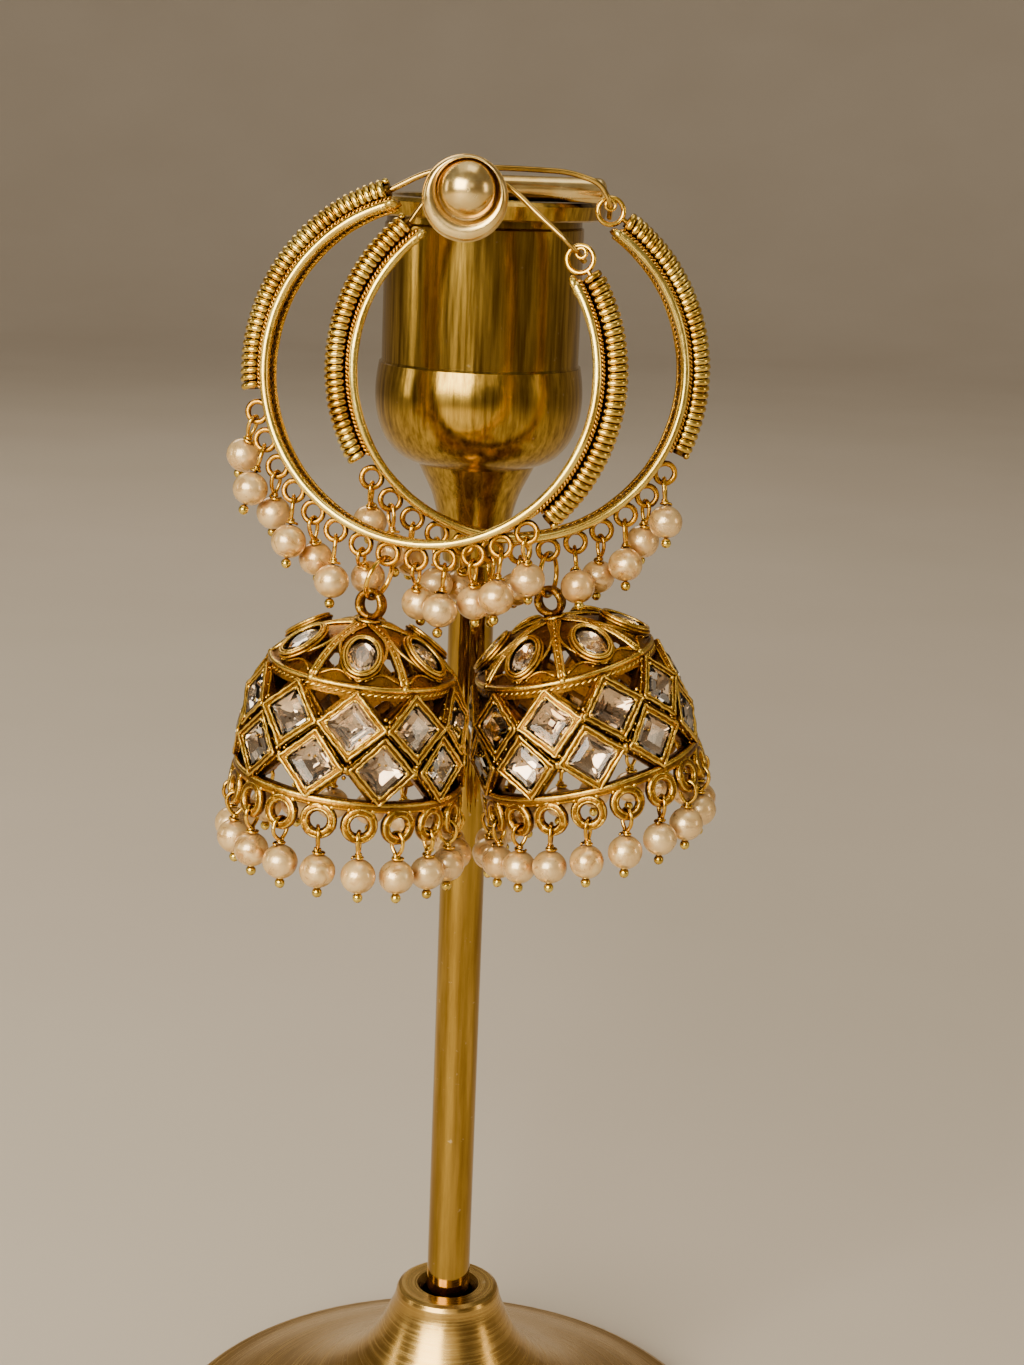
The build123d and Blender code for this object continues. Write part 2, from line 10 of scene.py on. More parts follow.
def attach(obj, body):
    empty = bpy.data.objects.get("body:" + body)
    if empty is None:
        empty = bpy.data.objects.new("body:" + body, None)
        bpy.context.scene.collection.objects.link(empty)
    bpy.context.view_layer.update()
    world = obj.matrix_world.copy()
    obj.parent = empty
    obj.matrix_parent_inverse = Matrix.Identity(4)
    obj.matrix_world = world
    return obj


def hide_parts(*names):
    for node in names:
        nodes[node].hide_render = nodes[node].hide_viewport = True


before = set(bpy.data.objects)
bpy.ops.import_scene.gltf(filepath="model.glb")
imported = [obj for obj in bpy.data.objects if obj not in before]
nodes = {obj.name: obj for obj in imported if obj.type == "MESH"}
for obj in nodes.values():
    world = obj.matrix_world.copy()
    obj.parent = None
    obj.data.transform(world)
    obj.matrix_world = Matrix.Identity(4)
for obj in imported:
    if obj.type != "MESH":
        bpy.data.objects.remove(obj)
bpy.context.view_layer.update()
MM = 0.001


# ------------------------------------------------------------------ vectors
def vec(*a):
    return np.array(a, float)


def unit(v):
    return v / np.linalg.norm(v)


def turn(v, axis, angle):
    """v turned about axis by angle degrees."""
    k = unit(np.array(axis, float))
    t = math.radians(angle)
    return v * math.cos(t) + np.cross(k, v) * math.sin(t) + k * np.dot(k, v) * (1 - math.cos(t))


# ------------------------------------------------------------------ sizes, in mm, as the solids have them
HOOPS = {"a": (-5.6, -23.5, 157.2, -13.0, 8.0, 199.5), "b": (4.7, -16.9, 157.1, 6.0, 4.0, 178.0)}
SWINGS = {
    "a": ((-17, 0), (19, 0), (-15, 0), (19, 0), (-24, 0), None, (-45, 0),
          (15, 0), (-18, 0), (19, 0), (-17, 8), (19, 12), (-17, 20)),
    "b": ((25, 0), (-17, 0), (19, 0), (-15, 0), (42, 0), None, (-36, 0),
          (12, 0), (-26, 0), (8, 0), (-30, 0), (12, -4), (-24, 0)),
}
WIRES = {
    "a": ((-2.3, 22.95, 0.0), (1.6, 23.75, 0.0), (4.7, 23.45, 0.0), (8.6, 21.3, 0.35),
          (11.4, 18.9, 1.1), (15.8, 15.4, 1.55), (16.9, 13.9, -1.3)),
    "b": ((-12.4, 18.6, 0.0), (-10.0, 21.9, 0.0), (-6.6, 23.65, 0.0), (-1.5, 23.7, 0.0),
          (5.2, 23.5, 0.35), (8.9, 22.3, 0.95), (10.2, 20.0, 1.0), (10.4, 18.4, -1.2)),
}
BELLS = {"a": (-6.2, 0.0, 0.0, -18.0, -27.0), "b": (15.8, -14.7, -18.0, 3.0, -24.0)}
HOOP_R, BAND_T, EDGE_R, HOOP_W, GAP_HALF = 19.9, 0.6, 0.55, 4.2, 36.0
COIL_SPAN, COIL_R, COIL_MID = 82.0, 1.5, 19.9 + 0.3 + 1.5 + 0.06
EYELETS, PITCH, BELL_AT = 13, 9.2, 5
EYE_R, EYE_WIRE = 1.2, 0.35
EYE_MID = HOOP_R + BAND_T / 2 + EYE_R + EYE_WIRE - 0.12
LINK = 0.05
JUMP_R, JUMP_WIRE = 2.6, 0.3
BAIL_R, BAIL_WIRE, BAIL_SPLAY = 1.55, 0.45, 12.0
CROWN_Z, CROWN_R, RIM_Z, RIM_R = -3.1, 1.5, -8.3, 10.75
CAP_MID_R, CAP_MID_DROP = 6.9, 1.75
BAND_Z, BAND_R = -21.7, 13.35
ROWS = ((-12.6, 12.25, 15.0, 0.0), (-17.4, 13.05, 6.0, 0.5))
COLLETS, COLLET, WALL, PROUD = 10, 5.8, 0.7, 0.45
BELL_EYES, BELL_EYE_R, BELL_EYE_WIRE = 18, 1.6, 0.6
BELL_EYE_AT, BELL_EYE_Z, BELL_EYE_SLOPE = 13.5, -21.7 - 2.15, 4.0
PETALS, PETAL_Z, PETAL_R, PETAL_SLOPE = 6, -5.58, 8.05, 55.0
BEZEL_W, BEZEL_L, BEZEL_T, BEZEL_PROUD = 1.7, 2.55, 0.6, 0.75
PEARL_R, PIN_R, BALL_R = 2.1, 0.2, 0.6
DROPS = {"hoop": (0.8, 1.3, 0.4, EYE_WIRE), "bell": (0.95, 0.9, 0.4, BELL_EYE_WIRE)}


class Plane:
    def __init__(self, origin, x, z):
        self.o, self.z = np.array(origin, float), unit(np.array(z, float))
        x = np.array(x, float)
        self.x = unit(x - self.z * np.dot(x, self.z))
        self.y = np.cross(self.z, self.x)

    def at(self, x, y, z=0.0):
        return self.o + self.x * x + self.y * y + self.z * z

    def points(self, p):
        p = np.asarray(p, float)
        return self.o + p[:, :1] * self.x + p[:, 1:2] * self.y + p[:, 2:3] * self.z


def hoop_frame(e):
    x, y, z, yaw, lean, _ = HOOPS[e]
    across = turn(vec(1, 0, 0), (0, 0, 1), yaw)
    up = turn(vec(0, 0, 1), across, -lean)
    return vec(x, y, z), across, up, np.cross(across, up)


def hoop_point(e, theta, radius, ahead=0.0):
    mid, across, up, forward = hoop_frame(e)
    t = math.radians(theta)
    return mid + (across * math.sin(t) + up * math.cos(t)) * radius + forward * ahead


def hoop_start(e):
    return HOOPS[e][5] - 180 + GAP_HALF


def eyelet_theta(e, i):
    return HOOPS[e][5] + (i - (EYELETS - 1) / 2) * PITCH


def lowest(centre, normal, radius, down=vec(0, 0, -1)):
    down = down - normal * np.dot(down, normal)
    return centre + unit(down) * radius


def link_of(e):
    """Ring middle, normal and hanging direction, eyelet bearing and bail bearing."""
    _, _, _, ring_lean, ring_turn = BELLS[e]
    forward = hoop_frame(e)[3]
    centre = hoop_point(e, eyelet_theta(e, BELL_AT), EYE_MID)
    hang = turn(vec(0, 0, -1), (0, 1, 0), -ring_lean)
    hook = lowest(centre, forward, EYE_R, hang)
    normal = turn(vec(1, 0, 0), (0, 0, 1), ring_turn)
    normal = unit(normal - hang * np.dot(normal, hang))
    mid = hook + hang * (JUMP_R - JUMP_WIRE - EYE_WIRE - LINK)
    return mid, normal, hang, hook, mid + hang * JUMP_R


def bell_frame(e):
    lean, spin = BELLS[e][:2]
    axis = turn(vec(0, 0, 1), (0, 1, 0), -lean)
    return Plane(link_of(e)[4], turn(vec(0, -1, 0), axis, spin), axis)


def on_bell(fr, azimuth, radius, z):
    a = math.radians(azimuth)
    return fr.at(radius * math.cos(a), radius * math.sin(a), z)


def face_plane(fr, azimuth, radius, z, slope):
    a = math.radians(azimuth)
    radial = fr.x * math.cos(a) + fr.y * math.sin(a)
    around = fr.y * math.cos(a) - fr.x * math.sin(a)
    out = radial * math.cos(math.radians(slope)) + fr.z * math.sin(math.radians(slope))
    return Plane(on_bell(fr, azimuth, radius, z), around, out)


def on_corner(p):
    return Plane(p.o, p.x + p.y, p.z)


def drop_frame(centre, normal, radius, facing, towards, swing):
    towards = unit(vec(towards[0], towards[1], 0))
    t = math.radians(swing)
    up = vec(0, 0, 1) * math.cos(t) - towards * math.sin(t)
    return Plane(lowest(centre, normal, radius, -up), facing, up)


def drop_spots(e, kind):
    spots = []
    if kind == "hoop":
        _, across, _, forward = hoop_frame(e)
        for i, swing in enumerate(SWINGS[e]):
            if swing is None:
                continue
            centre = hoop_point(e, eyelet_theta(e, i), EYE_MID)
            facing = turn(across, (0, 0, 1), 18 if i % 2 else -18)
            towards = forward * swing[0] - across * swing[1]
            spots.append(drop_frame(centre, forward, EYE_R, facing, towards, math.hypot(*swing)))
    else:
        fr = bell_frame(e)
        for k in range(BELL_EYES):
            p = face_plane(fr, (k + 0.5) * 360 / BELL_EYES, BELL_EYE_AT, BELL_EYE_Z, BELL_EYE_SLOPE)
            radial = unit(vec(p.z[0], p.z[1], 0))
            facing = turn(vec(-radial[1], radial[0], 0), (0, 0, 1), 16 if k % 2 else -16)
            spots.append(drop_frame(p.o, p.z, BELL_EYE_R, facing, radial, 0))
    return spots


# ------------------------------------------------------------------ mesh maker
class Mesh:
    """Collects points and faces in mm, each face with a material number and a smooth flag."""

    def __init__(self):
        self.v, self.f, self.m, self.s, self.n = [], [], [], [], 0

    def add(self, verts, faces, mat=0, smooth=True):
        verts = np.asarray(verts, float)
        self.v.append(verts)
        for f in faces:
            self.f.append([i + self.n for i in f])
            self.m.append(mat)
            self.s.append(smooth)
        self.n += len(verts)

    def tube(self, path, radius, sides=8, closed=False, mat=0, twist=0.0, flat=1.0, up=None, caps=True):
        """Tube along a path; radius may be one number or one for each point. With up, the
        section keeps that direction across it, flattened by flat."""
        path = np.asarray(path, float)
        n = len(path)
        r = np.broadcast_to(np.asarray(radius, float), (n,))
        if closed:
            tang = np.roll(path, -1, 0) - np.roll(path, 1, 0)
        else:
            tang = np.gradient(path, axis=0)
        tang /= np.linalg.norm(tang, axis=1)[:, None]
        if up is not None:
            ups = np.broadcast_to(np.asarray(up, float), (n, 3))
            a = ups - tang * np.sum(ups * tang, 1)[:, None]
            a /= np.linalg.norm(a, axis=1)[:, None]
        else:
            a = np.zeros((n, 3))
            first = np.cross(tang[0], [0.31, 0.52, 0.79])
            a[0] = unit(first)
            for i in range(1, n):
                w = a[i - 1] - tang[i] * np.dot(a[i - 1], tang[i])
                a[i] = unit(w)
            if closed:
                w = a[-1] - tang[0] * np.dot(a[-1], tang[0])
                w = unit(w)
                off = math.atan2(np.dot(np.cross(a[0], w), tang[0]), np.dot(a[0], w))
                for i in range(n):
                    a[i] = turn(a[i], tang[i], -math.degrees(off) * i / n)
        b = np.cross(tang, a)
        ang = np.linspace(0, 2 * math.pi, sides, endpoint=False)
        if twist:
            ang = ang[None, :] + np.arange(n)[:, None] * twist
        else:
            ang = np.broadcast_to(ang, (n, sides))
        ring = (
            path[:, None]
            + (np.cos(ang) * r[:, None])[..., None] * a[:, None] * flat
            + (np.sin(ang) * r[:, None])[..., None] * b[:, None]
        )
        faces = []
        for i in range(n if closed else n - 1):
            j = (i + 1) % n
            for k in range(sides):
                l = (k + 1) % sides
                faces.append((i * sides + k, i * sides + l, j * sides + l, j * sides + k))
        if not closed and caps:
            faces.append(tuple(range(sides))[::-1])
            faces.append(tuple((n - 1) * sides + k for k in range(sides)))
        self.add(ring.reshape(-1, 3), faces, mat)

    def ring(self, centre, normal, radius, wire, n=40, sides=10, mat=0, bumps=0.0, seed=0, flat=1.0):
        """Closed ring of wire; bumps gives a cast, uneven wire."""
        p = Plane(centre, np.cross(normal, [0.31, 0.52, 0.79]), normal)
        t = np.linspace(0, 2 * math.pi, n, endpoint=False)
        rng = np.random.default_rng(seed)
        r = np.full(n, wire)
        if bumps:
            ph = rng.uniform(0, 6.28, 4)
            r = wire * (1 + bumps * (np.sin(3 * t + ph[0]) * 0.5 + np.sin(7 * t + ph[1]) * 0.5 + rng.uniform(-0.6, 0.6, n)))
        path = p.points(np.c_[np.cos(t) * radius, np.sin(t) * radius, t * 0])
        self.tube(path, r, sides, True, mat, flat=flat, up=np.tile(p.z, (n, 1)))

    def ball(self, centre, radius, seg=12, rings=8, mat=0, axes=None, squash=(1, 1, 1), wrinkle=0.0, seed=0):
        t = np.linspace(0, math.pi, rings + 1)[1:-1]
        p = np.linspace(0, 2 * math.pi, seg, endpoint=False)
        d = [(0, 0, 1)]
        for a in t:
            for b in p:
                d.append((math.sin(a) * math.cos(b), math.sin(a) * math.sin(b), math.cos(a)))
        d.append((0, 0, -1))
        d = np.array(d)
        rad = np.full(len(d), radius, float)
        if wrinkle:
            rng = np.random.default_rng(seed)
            for k in range(5):
                w = unit(rng.normal(size=3)) * rng.uniform(3, 9)
                rad *= 1 + wrinkle / 3 * np.sin(d @ w + rng.uniform(0, 6.28))
        q = d * rad[:, None] * np.array(squash)
        if axes is not None:
            q = q @ np.array([axes.x, axes.y, axes.z])
        q = q + np.array(centre)
        f = []
        for k in range(seg):
            f.append((0, 1 + k, 1 + (k + 1) % seg))
        for i in range(rings - 2):
            for k in range(seg):
                a, b = 1 + i * seg + k, 1 + i * seg + (k + 1) % seg
                f.append((a, a + seg, b + seg, b))
        base = 1 + (rings - 2) * seg
        last = len(d) - 1
        for k in range(seg):
            f.append((base + k, last, base + (k + 1) % seg))
        self.add(q, f, mat)

    def build(self, name, body, mats, slot=None, replaces=()):
        me = bpy.data.meshes.new(name)
        v = np.vstack(self.v) * MM
        me.from_pydata([tuple(p) for p in v], [], self.f)
        for m in mats:
            me.materials.append(m)
        me.polygons.foreach_set("material_index", self.m)
        me.polygons.foreach_set("use_smooth", self.s)
        me.update()
        bm = bmesh.new()
        bm.from_mesh(me)
        bmesh.ops.recalc_face_normals(bm, faces=bm.faces)
        bm.to_mesh(me)
        bm.free()
        o = bpy.data.objects.new(name, me)
        bpy.context.scene.collection.objects.link(o)
        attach(o, body)
        if replaces:
            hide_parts(*replaces)
        print("piece", name, len(me.polygons))
        return o


# ------------------------------------------------------------------ materials
def new_mat(name, base, metallic=1.0, rough=0.3, **fixed):
    m = bpy.data.materials.new(name)
    m.use_nodes = True
    b = m.node_tree.nodes["Principled BSDF"]
    b.inputs["Base Color"].default_value = (*base, 1)
    b.inputs["Metallic"].default_value = metallic
    b.inputs["Roughness"].default_value = rough
    for k, v in fixed.items():
        b.inputs[k.replace("_", " ")].default_value = v
    return m, m.node_tree, b


def node(nt, kind, **props):
    n = nt.nodes.new(kind)
    for k, v in props.items():
        if k in n.inputs.keys() if hasattr(n, "inputs") else False:
            n.inputs[k].default_value = v
        else:
            setattr(n, k, v)
    return n


def coords(nt, scale=(1, 1, 1)):
    tc = nt.nodes.new("ShaderNodeTexCoord")
    mp = nt.nodes.new("ShaderNodeMapping")
    mp.inputs["Scale"].default_value = scale
    nt.links.new(tc.outputs["Object"], mp.inputs["Vector"])
    return mp.outputs["Vector"]


def noise(nt, vector, scale, detail=4.0, rough=0.55):
    n = nt.nodes.new("ShaderNodeTexNoise")
    n.inputs["Scale"].default_value = scale
    n.inputs["Detail"].default_value = detail
    n.inputs["Roughness"].default_value = rough
    nt.links.new(vector, n.inputs["Vector"])
    return n.outputs["Fac"]


def ramp(nt, fac, stops):
    r = nt.nodes.new("ShaderNodeValToRGB")
    el = r.color_ramp.elements
    while len(el) < len(stops):
        el.new(0.5)
    for e, (p, c) in zip(el, stops):
        e.position = p
        e.color = (*c, 1) if len(c) == 3 else c
    nt.links.new(fac, r.inputs["Fac"])
    return r.outputs["Color"]


def mix(nt, fac, a, b, kind="MIX"):
    m = nt.nodes.new("ShaderNodeMix")
    m.data_type = "RGBA"
    m.blend_type = kind
    for sock, val in ((m.inputs[0], fac), (m.inputs[6], a), (m.inputs[7], b)):
        if isinstance(val, (int, float)):
            sock.default_value = val
        elif isinstance(val, tuple):
            sock.default_value = (*val, 1) if len(val) == 3 else val
        else:
            nt.links.new(val, sock)
    return m.outputs[2]


def remap(nt, fac, lo, hi, to_lo, to_hi):
    m = nt.nodes.new("ShaderNodeMapRange")
    m.inputs["From Min"].default_value = lo
    m.inputs["From Max"].default_value = hi
    m.inputs["To Min"].default_value = to_lo
    m.inputs["To Max"].default_value = to_hi
    nt.links.new(fac, m.inputs["Value"])
    return m.outputs["Result"]


def bump(nt, bsdf, height, strength, distance):
    b = nt.nodes.new("ShaderNodeBump")
    b.inputs["Strength"].default_value = strength
    b.inputs["Distance"].default_value = distance
    nt.links.new(height, b.inputs["Height"])
    nt.links.new(b.outputs["Normal"], bsdf.inputs["Normal"])


def hollows(nt, distance, lo, hi):
    """1 in recesses, 0 on open surface: the mask for the shade painted into recesses, and on the cast gold also for
    its patina.
    """
    ao = nt.nodes.new("ShaderNodeAmbientOcclusion")
    ao.samples = 6
    ao.inputs["Distance"].default_value = distance
    return remap(nt, ao.outputs["AO"], lo, hi, 1.0, 0.0)


def biggest(nt, a, b):
    m = nt.nodes.new("ShaderNodeMath")
    m.operation = "MAXIMUM"
    nt.links.new(a, m.inputs[0])
    nt.links.new(b, m.inputs[1])
    return m.outputs[0]


def cast_gold(name, light, dark, rough=0.28, grain=1.0, patina=0.5, deep=0.0, near=0.0012):
    """Cast and antiqued gold plate: light on the metal, dark in its pits and patches of patina, and dark in its
    recesses, partly from its patina and partly as painted shade.
    """
    m, nt, b = new_mat(name, light, 1.0, rough)
    v = coords(nt)
    fine = noise(nt, v, 1500, 6, 0.65)
    pits = noise(nt, v, 620, 5, 0.7)
    broad = noise(nt, v, 260, 4, 0.6)
    # the occlusion mask darkens the recesses, partly as the patina there and partly as painted shade; the broad noise
    # and the pits add patina
    patina_and_shade = biggest(nt, hollows(nt, near, 0.40, 0.92), remap(nt, broad, 0.42, 0.72, 0.0, patina))
    patina_and_shade = biggest(nt, patina_and_shade, remap(nt, pits, 0.56, 0.72, 0.0, patina * 1.3))
    if deep:
        # painted shade and patina: a wider occlusion mask darkens the deeper recesses
        patina_and_shade = biggest(nt, patina_and_shade, hollows(nt, deep, 0.30, 0.62))
    tone = ramp(nt, fine, [(0.3, (light[0] * 0.82, light[1] * 0.72, light[2] * 0.55)), (0.66, light)])
    col = mix(nt, patina_and_shade, tone, dark)
    nt.links.new(col, b.inputs["Base Color"])
    nt.links.new(remap(nt, fine, 0.3, 0.75, rough * 0.7, rough * 1.5), b.inputs["Roughness"])
    both = mix(nt, 0.5, fine, pits)
    bump(nt, b, both, 0.55 * grain, 0.00022)
    return m


def wire_gold(name, light, rough=0.16, wear=0.62):
    m, nt, b = new_mat(name, light, 1.0, rough)
    v = coords(nt)
    f = noise(nt, v, 900, 5, 0.6)
    g = noise(nt, v, 150, 3, 0.5)
    col = ramp(nt, g, [(0.32, (light[0] * wear, light[1] * wear * 0.85, light[2] * wear * 0.6)), (0.58, light)])
    # painted shade: the occlusion mask darkens the wire where it runs close to other parts
    nt.links.new(mix(nt, hollows(nt, 0.0007, 0.25, 0.75), col, (0.16, 0.07, 0.012)), b.inputs["Base Color"])
    nt.links.new(remap(nt, f, 0.3, 0.75, rough * 0.7, rough * 1.6), b.inputs["Roughness"])
    bump(nt, b, f, 0.12, 0.00008)
    return m


# GOLD and BRIGHT are the metal's tones; DARK and the second colour of each cast gold are its patina and the shade
# painted into its recesses
GOLD = (0.84, 0.445, 0.036)
BRIGHT = (1.0, 0.70, 0.125)
DARK = (0.085, 0.030, 0.003)
gold_cast = cast_gold("gold_cast", GOLD, DARK, 0.26, 1.0, 0.55, 0.007)
gold_ridge = cast_gold("gold_ridge", BRIGHT, (0.34, 0.130, 0.010), 0.20, 1.3, 0.60, 0.0, 0.00035)
# darker copy of the gold for the bell's body: partly its patina, partly painted shade over its walls and the plain
# places of its cap
gold_inner_shaded = cast_gold("gold_inner_shaded", (0.42, 0.195, 0.016), (0.034, 0.013, 0.002), 0.28, 1.5, 0.8, 0.006)
gold_olive = cast_gold("gold_olive", (0.24, 0.125, 0.022), (0.022, 0.011, 0.003), 0.26, 0.9, 0.45)
gold_groove = cast_gold("gold_groove", (0.10, 0.048, 0.010), (0.012, 0.006, 0.002), 0.26, 1.0, 0.5)
gold_rope = cast_gold("gold_rope", (0.90, 0.48, 0.07), (0.12, 0.050, 0.007), 0.22, 0.6, 0.3)
gold_edge = wire_gold("gold_edge", (1.0, 0.77, 0.19), 0.22, 0.76)
gold_wire = wire_gold("gold_wire", (0.95, 0.60, 0.085), 0.17)
gold_ear = wire_gold("gold_ear", (0.60, 0.38, 0.085), 0.16, 0.40)
gold_ball = wire_gold("gold_ball", (0.88, 0.66, 0.13), 0.12)


def coil_gold():
    m, nt, b = new_mat("coil_gold", (0.80, 0.52, 0.17), 1.0, 0.22)
    v = coords(nt)
    f = noise(nt, v, 700, 5, 0.6)
    g = noise(nt, v, 200, 3, 0.5)
    tone = ramp(nt, g, [(0.32, (0.62, 0.36, 0.045)), (0.5, (0.86, 0.58, 0.10)), (0.68, (0.98, 0.76, 0.21))])
    # painted shade: the occlusion mask darkens the coil between its turns and against the band
    nt.links.new(mix(nt, hollows(nt, 0.0008, 0.22, 0.72), tone, (0.09, 0.036, 0.008)), b.inputs["Base Color"])
    nt.links.new(remap(nt, f, 0.3, 0.75, 0.13, 0.30), b.inputs["Roughness"])
    bump(nt, b, f, 0.12, 0.0001)
    return m


coil_mat = coil_gold()


def pearl():
    """Cream glass pearl: cloudy nacre under a clear warm coat, with painted shade where it sits close to other parts.
    """
    m, nt, b = new_mat("pearl", (0.80, 0.60, 0.40), 0.55, 0.34)
    b.inputs["Coat Weight"].default_value = 1.0
    b.inputs["Coat Roughness"].default_value = 0.07
    b.inputs["Coat IOR"].default_value = 1.75
    b.inputs["Coat Tint"].default_value = (1.0, 0.80, 0.46, 1)
    b.inputs["Sheen Weight"].default_value = 0.10
    b.inputs["Sheen Tint"].default_value = (1.0, 0.70, 0.40, 1)
    v = coords(nt)
    swirl = nt.nodes.new("ShaderNodeTexNoise")
    swirl.inputs["Scale"].default_value = 460
    swirl.inputs["Detail"].default_value = 5
    swirl.inputs["Distortion"].default_value = 1.6
    nt.links.new(v, swirl.inputs["Vector"])
    broad = noise(nt, v, 120, 2, 0.5)
    fine = noise(nt, v, 1300, 4, 0.6)
    core = ramp(nt, swirl.outputs["Fac"], [(0.30, (0.58, 0.37, 0.17)), (0.44, (0.80, 0.61, 0.36)), (0.55, (0.94, 0.80, 0.58)), (0.70, (1.0, 0.93, 0.78))])
    cloud = mix(nt, remap(nt, broad, 0.40, 0.62, 0, 0.75), core, (0.80, 0.70, 0.56))
    cloud = mix(nt, remap(nt, noise(nt, v, 75, 2, 0.5), 0.52, 0.68, 0, 0.45), cloud, (0.76, 0.50, 0.20))
    # painted shade: the occlusion mask darkens the pearl to brown where it sits close to its pin and to other pearls
    cloud = mix(nt, hollows(nt, 0.0012, 0.2, 0.85), cloud, (0.50, 0.24, 0.06))
    nt.links.new(cloud, b.inputs["Base Color"])
    nt.links.new(remap(nt, swirl.outputs["Fac"], 0.3, 0.7, 0.22, 0.42), b.inputs["Roughness"])
    bump(nt, b, mix(nt, 0.35, swirl.outputs["Fac"], fine), 0.42, 0.00026)
    return m


pearl_mat = pearl()


def crystal():
    m, nt, b = new_mat("crystal", (0.96, 0.90, 0.82), 0.0, 0.015)
    b.inputs["Transmission Weight"].default_value = 1.0
    b.inputs["IOR"].default_value = 1.52
    v = coords(nt)
    f = noise(nt, v, 300, 2, 0.5)
    nt.links.new(ramp(nt, f, [(0.35, (0.98, 0.90, 0.80)), (0.7, (0.90, 0.86, 0.82))]), b.inputs["Base Color"])
    return m


def foil():
    m, nt, b = new_mat("foil", (0.62, 0.50, 0.38), 1.0, 0.10)
    v = coords(nt)
    f = noise(nt, v, 240, 3, 0.6)
    nt.links.new(ramp(nt, f, [(0.32, (0.50, 0.37, 0.24)), (0.5, (0.80, 0.66, 0.48)), (0.68, (0.68, 0.61, 0.54))]), b.inputs["Base Color"])
    return m


crystal_mat, foil_mat = crystal(), foil()


def turned(nt, scale):
    """Coordinates of a turned surface: distance from the axis, x, and height."""
    tc = nt.nodes.new("ShaderNodeTexCoord")
    sp = nt.nodes.new("ShaderNodeSeparateXYZ")
    nt.links.new(tc.outputs["Object"], sp.inputs[0])
    flat = nt.nodes.new("ShaderNodeCombineXYZ")
    nt.links.new(sp.outputs["X"], flat.inputs["X"])
    nt.links.new(sp.outputs["Y"], flat.inputs["Y"])
    far = nt.nodes.new("ShaderNodeVectorMath")
    far.operation = "LENGTH"
    nt.links.new(flat.outputs[0], far.inputs[0])
    out = nt.nodes.new("ShaderNodeCombineXYZ")
    nt.links.new(far.outputs["Value"], out.inputs["X"])
    nt.links.new(sp.outputs["X"], out.inputs["Y"])
    nt.links.new(sp.outputs["Z"], out.inputs["Z"])
    mp = nt.nodes.new("ShaderNodeMapping")
    mp.inputs["Scale"].default_value = scale
    nt.links.new(out.outputs[0], mp.inputs["Vector"])
    return mp.outputs["Vector"]


def brass(name, light, deep, rough, streak, strength=0.10, aniso=0.0, rings=False):
    """Brushed brass; streak gives the grain's scale along x, y and z, or across rings round the axis."""
    m, nt, b = new_mat(name, light, 1.0, rough)
    if aniso:
        b.inputs["Anisotropic"].default_value = aniso
    v = turned(nt, streak) if rings else coords(nt, streak)
    grain = noise(nt, v, 60, 8, 0.65)
    cloud = noise(nt, coords(nt), 22, 3, 0.5)
    specks = noise(nt, coords(nt), 900, 3, 0.6)
    tone = mix(nt, remap(nt, grain, 0.35, 0.65, 0, 1), deep, light)
    tone = mix(nt, remap(nt, cloud, 0.35, 0.7, 0.0, 0.4), tone, deep)
    tone = mix(nt, remap(nt, specks, 0.68, 0.76, 0.0, 0.35), tone, (1.0, 0.86, 0.55))
    # painted shade: the occlusion mask darkens the brass in its recesses
    nt.links.new(mix(nt, hollows(nt, 0.002, 0.3, 0.9), tone, (deep[0] * 0.35, deep[1] * 0.3, deep[2] * 0.3)), b.inputs["Base Color"])
    nt.links.new(remap(nt, grain, 0.3, 0.7, rough * 0.75, rough * 1.3), b.inputs["Roughness"])
    bump(nt, b, grain, strength, 0.0001)
    return m


cup_brass = brass("cup_brass", (0.70, 0.45, 0.075), (0.20, 0.112, 0.015), 0.18, (26, 26, 1.2), 0.16)
stem_brass = brass("stem_brass", (0.56, 0.35, 0.065), (0.26, 0.145, 0.020), 0.08, (9, 9, 0.6), 0.04)
foot_brass = brass("foot_brass", (0.66, 0.43, 0.13), (0.44, 0.265, 0.065), 0.25, (46, 1.2, 46), 0.05, 0.0, True)
peg_brass = brass("peg_brass", (1.0, 0.80, 0.38), (0.80, 0.52, 0.15), 0.22, (5, 5, 5), 0.05)


def paint(name, mat):
    me = nodes[name].data
    me.materials.clear()
    me.materials.append(mat)


for n, m in (("stand_base", foot_brass), ("stand_stem", stem_brass), ("stand_cup", cup_brass), ("hanger", peg_brass)):
    paint(n, m)
for e in "ab":
    paint(e + "_hoop", gold_cast)
    paint(e + "_bell", gold_inner_shaded)
    for n in ("coil_left", "coil_right"):
        paint(e + "_" + n, coil_mat)
    for n in ("catch_loop", "jump_ring", "hoop_pins", "bell_pins"):
        paint(e + "_" + n, gold_wire)
    paint(e + "_ear_wire", gold_ear)
    for n in ("hoop_pearls", "bell_pearls"):
        paint(e + "_" + n, pearl_mat)
    paint(e + "_bell_stones", crystal_mat)


# ------------------------------------------------------------------ pieces
def arc(e, t0, t1, radius, ahead, n):
    return np.array([hoop_point(e, t, radius, ahead) for t in np.linspace(t0, t1, n)])


def frame_at(e, theta):
    mid, across, up, forward = hoop_frame(e)
    t = math.radians(theta)
    radial = across * math.sin(t) + up * math.cos(t)
    along = across * math.cos(t) - up * math.sin(t)
    return radial, along, forward


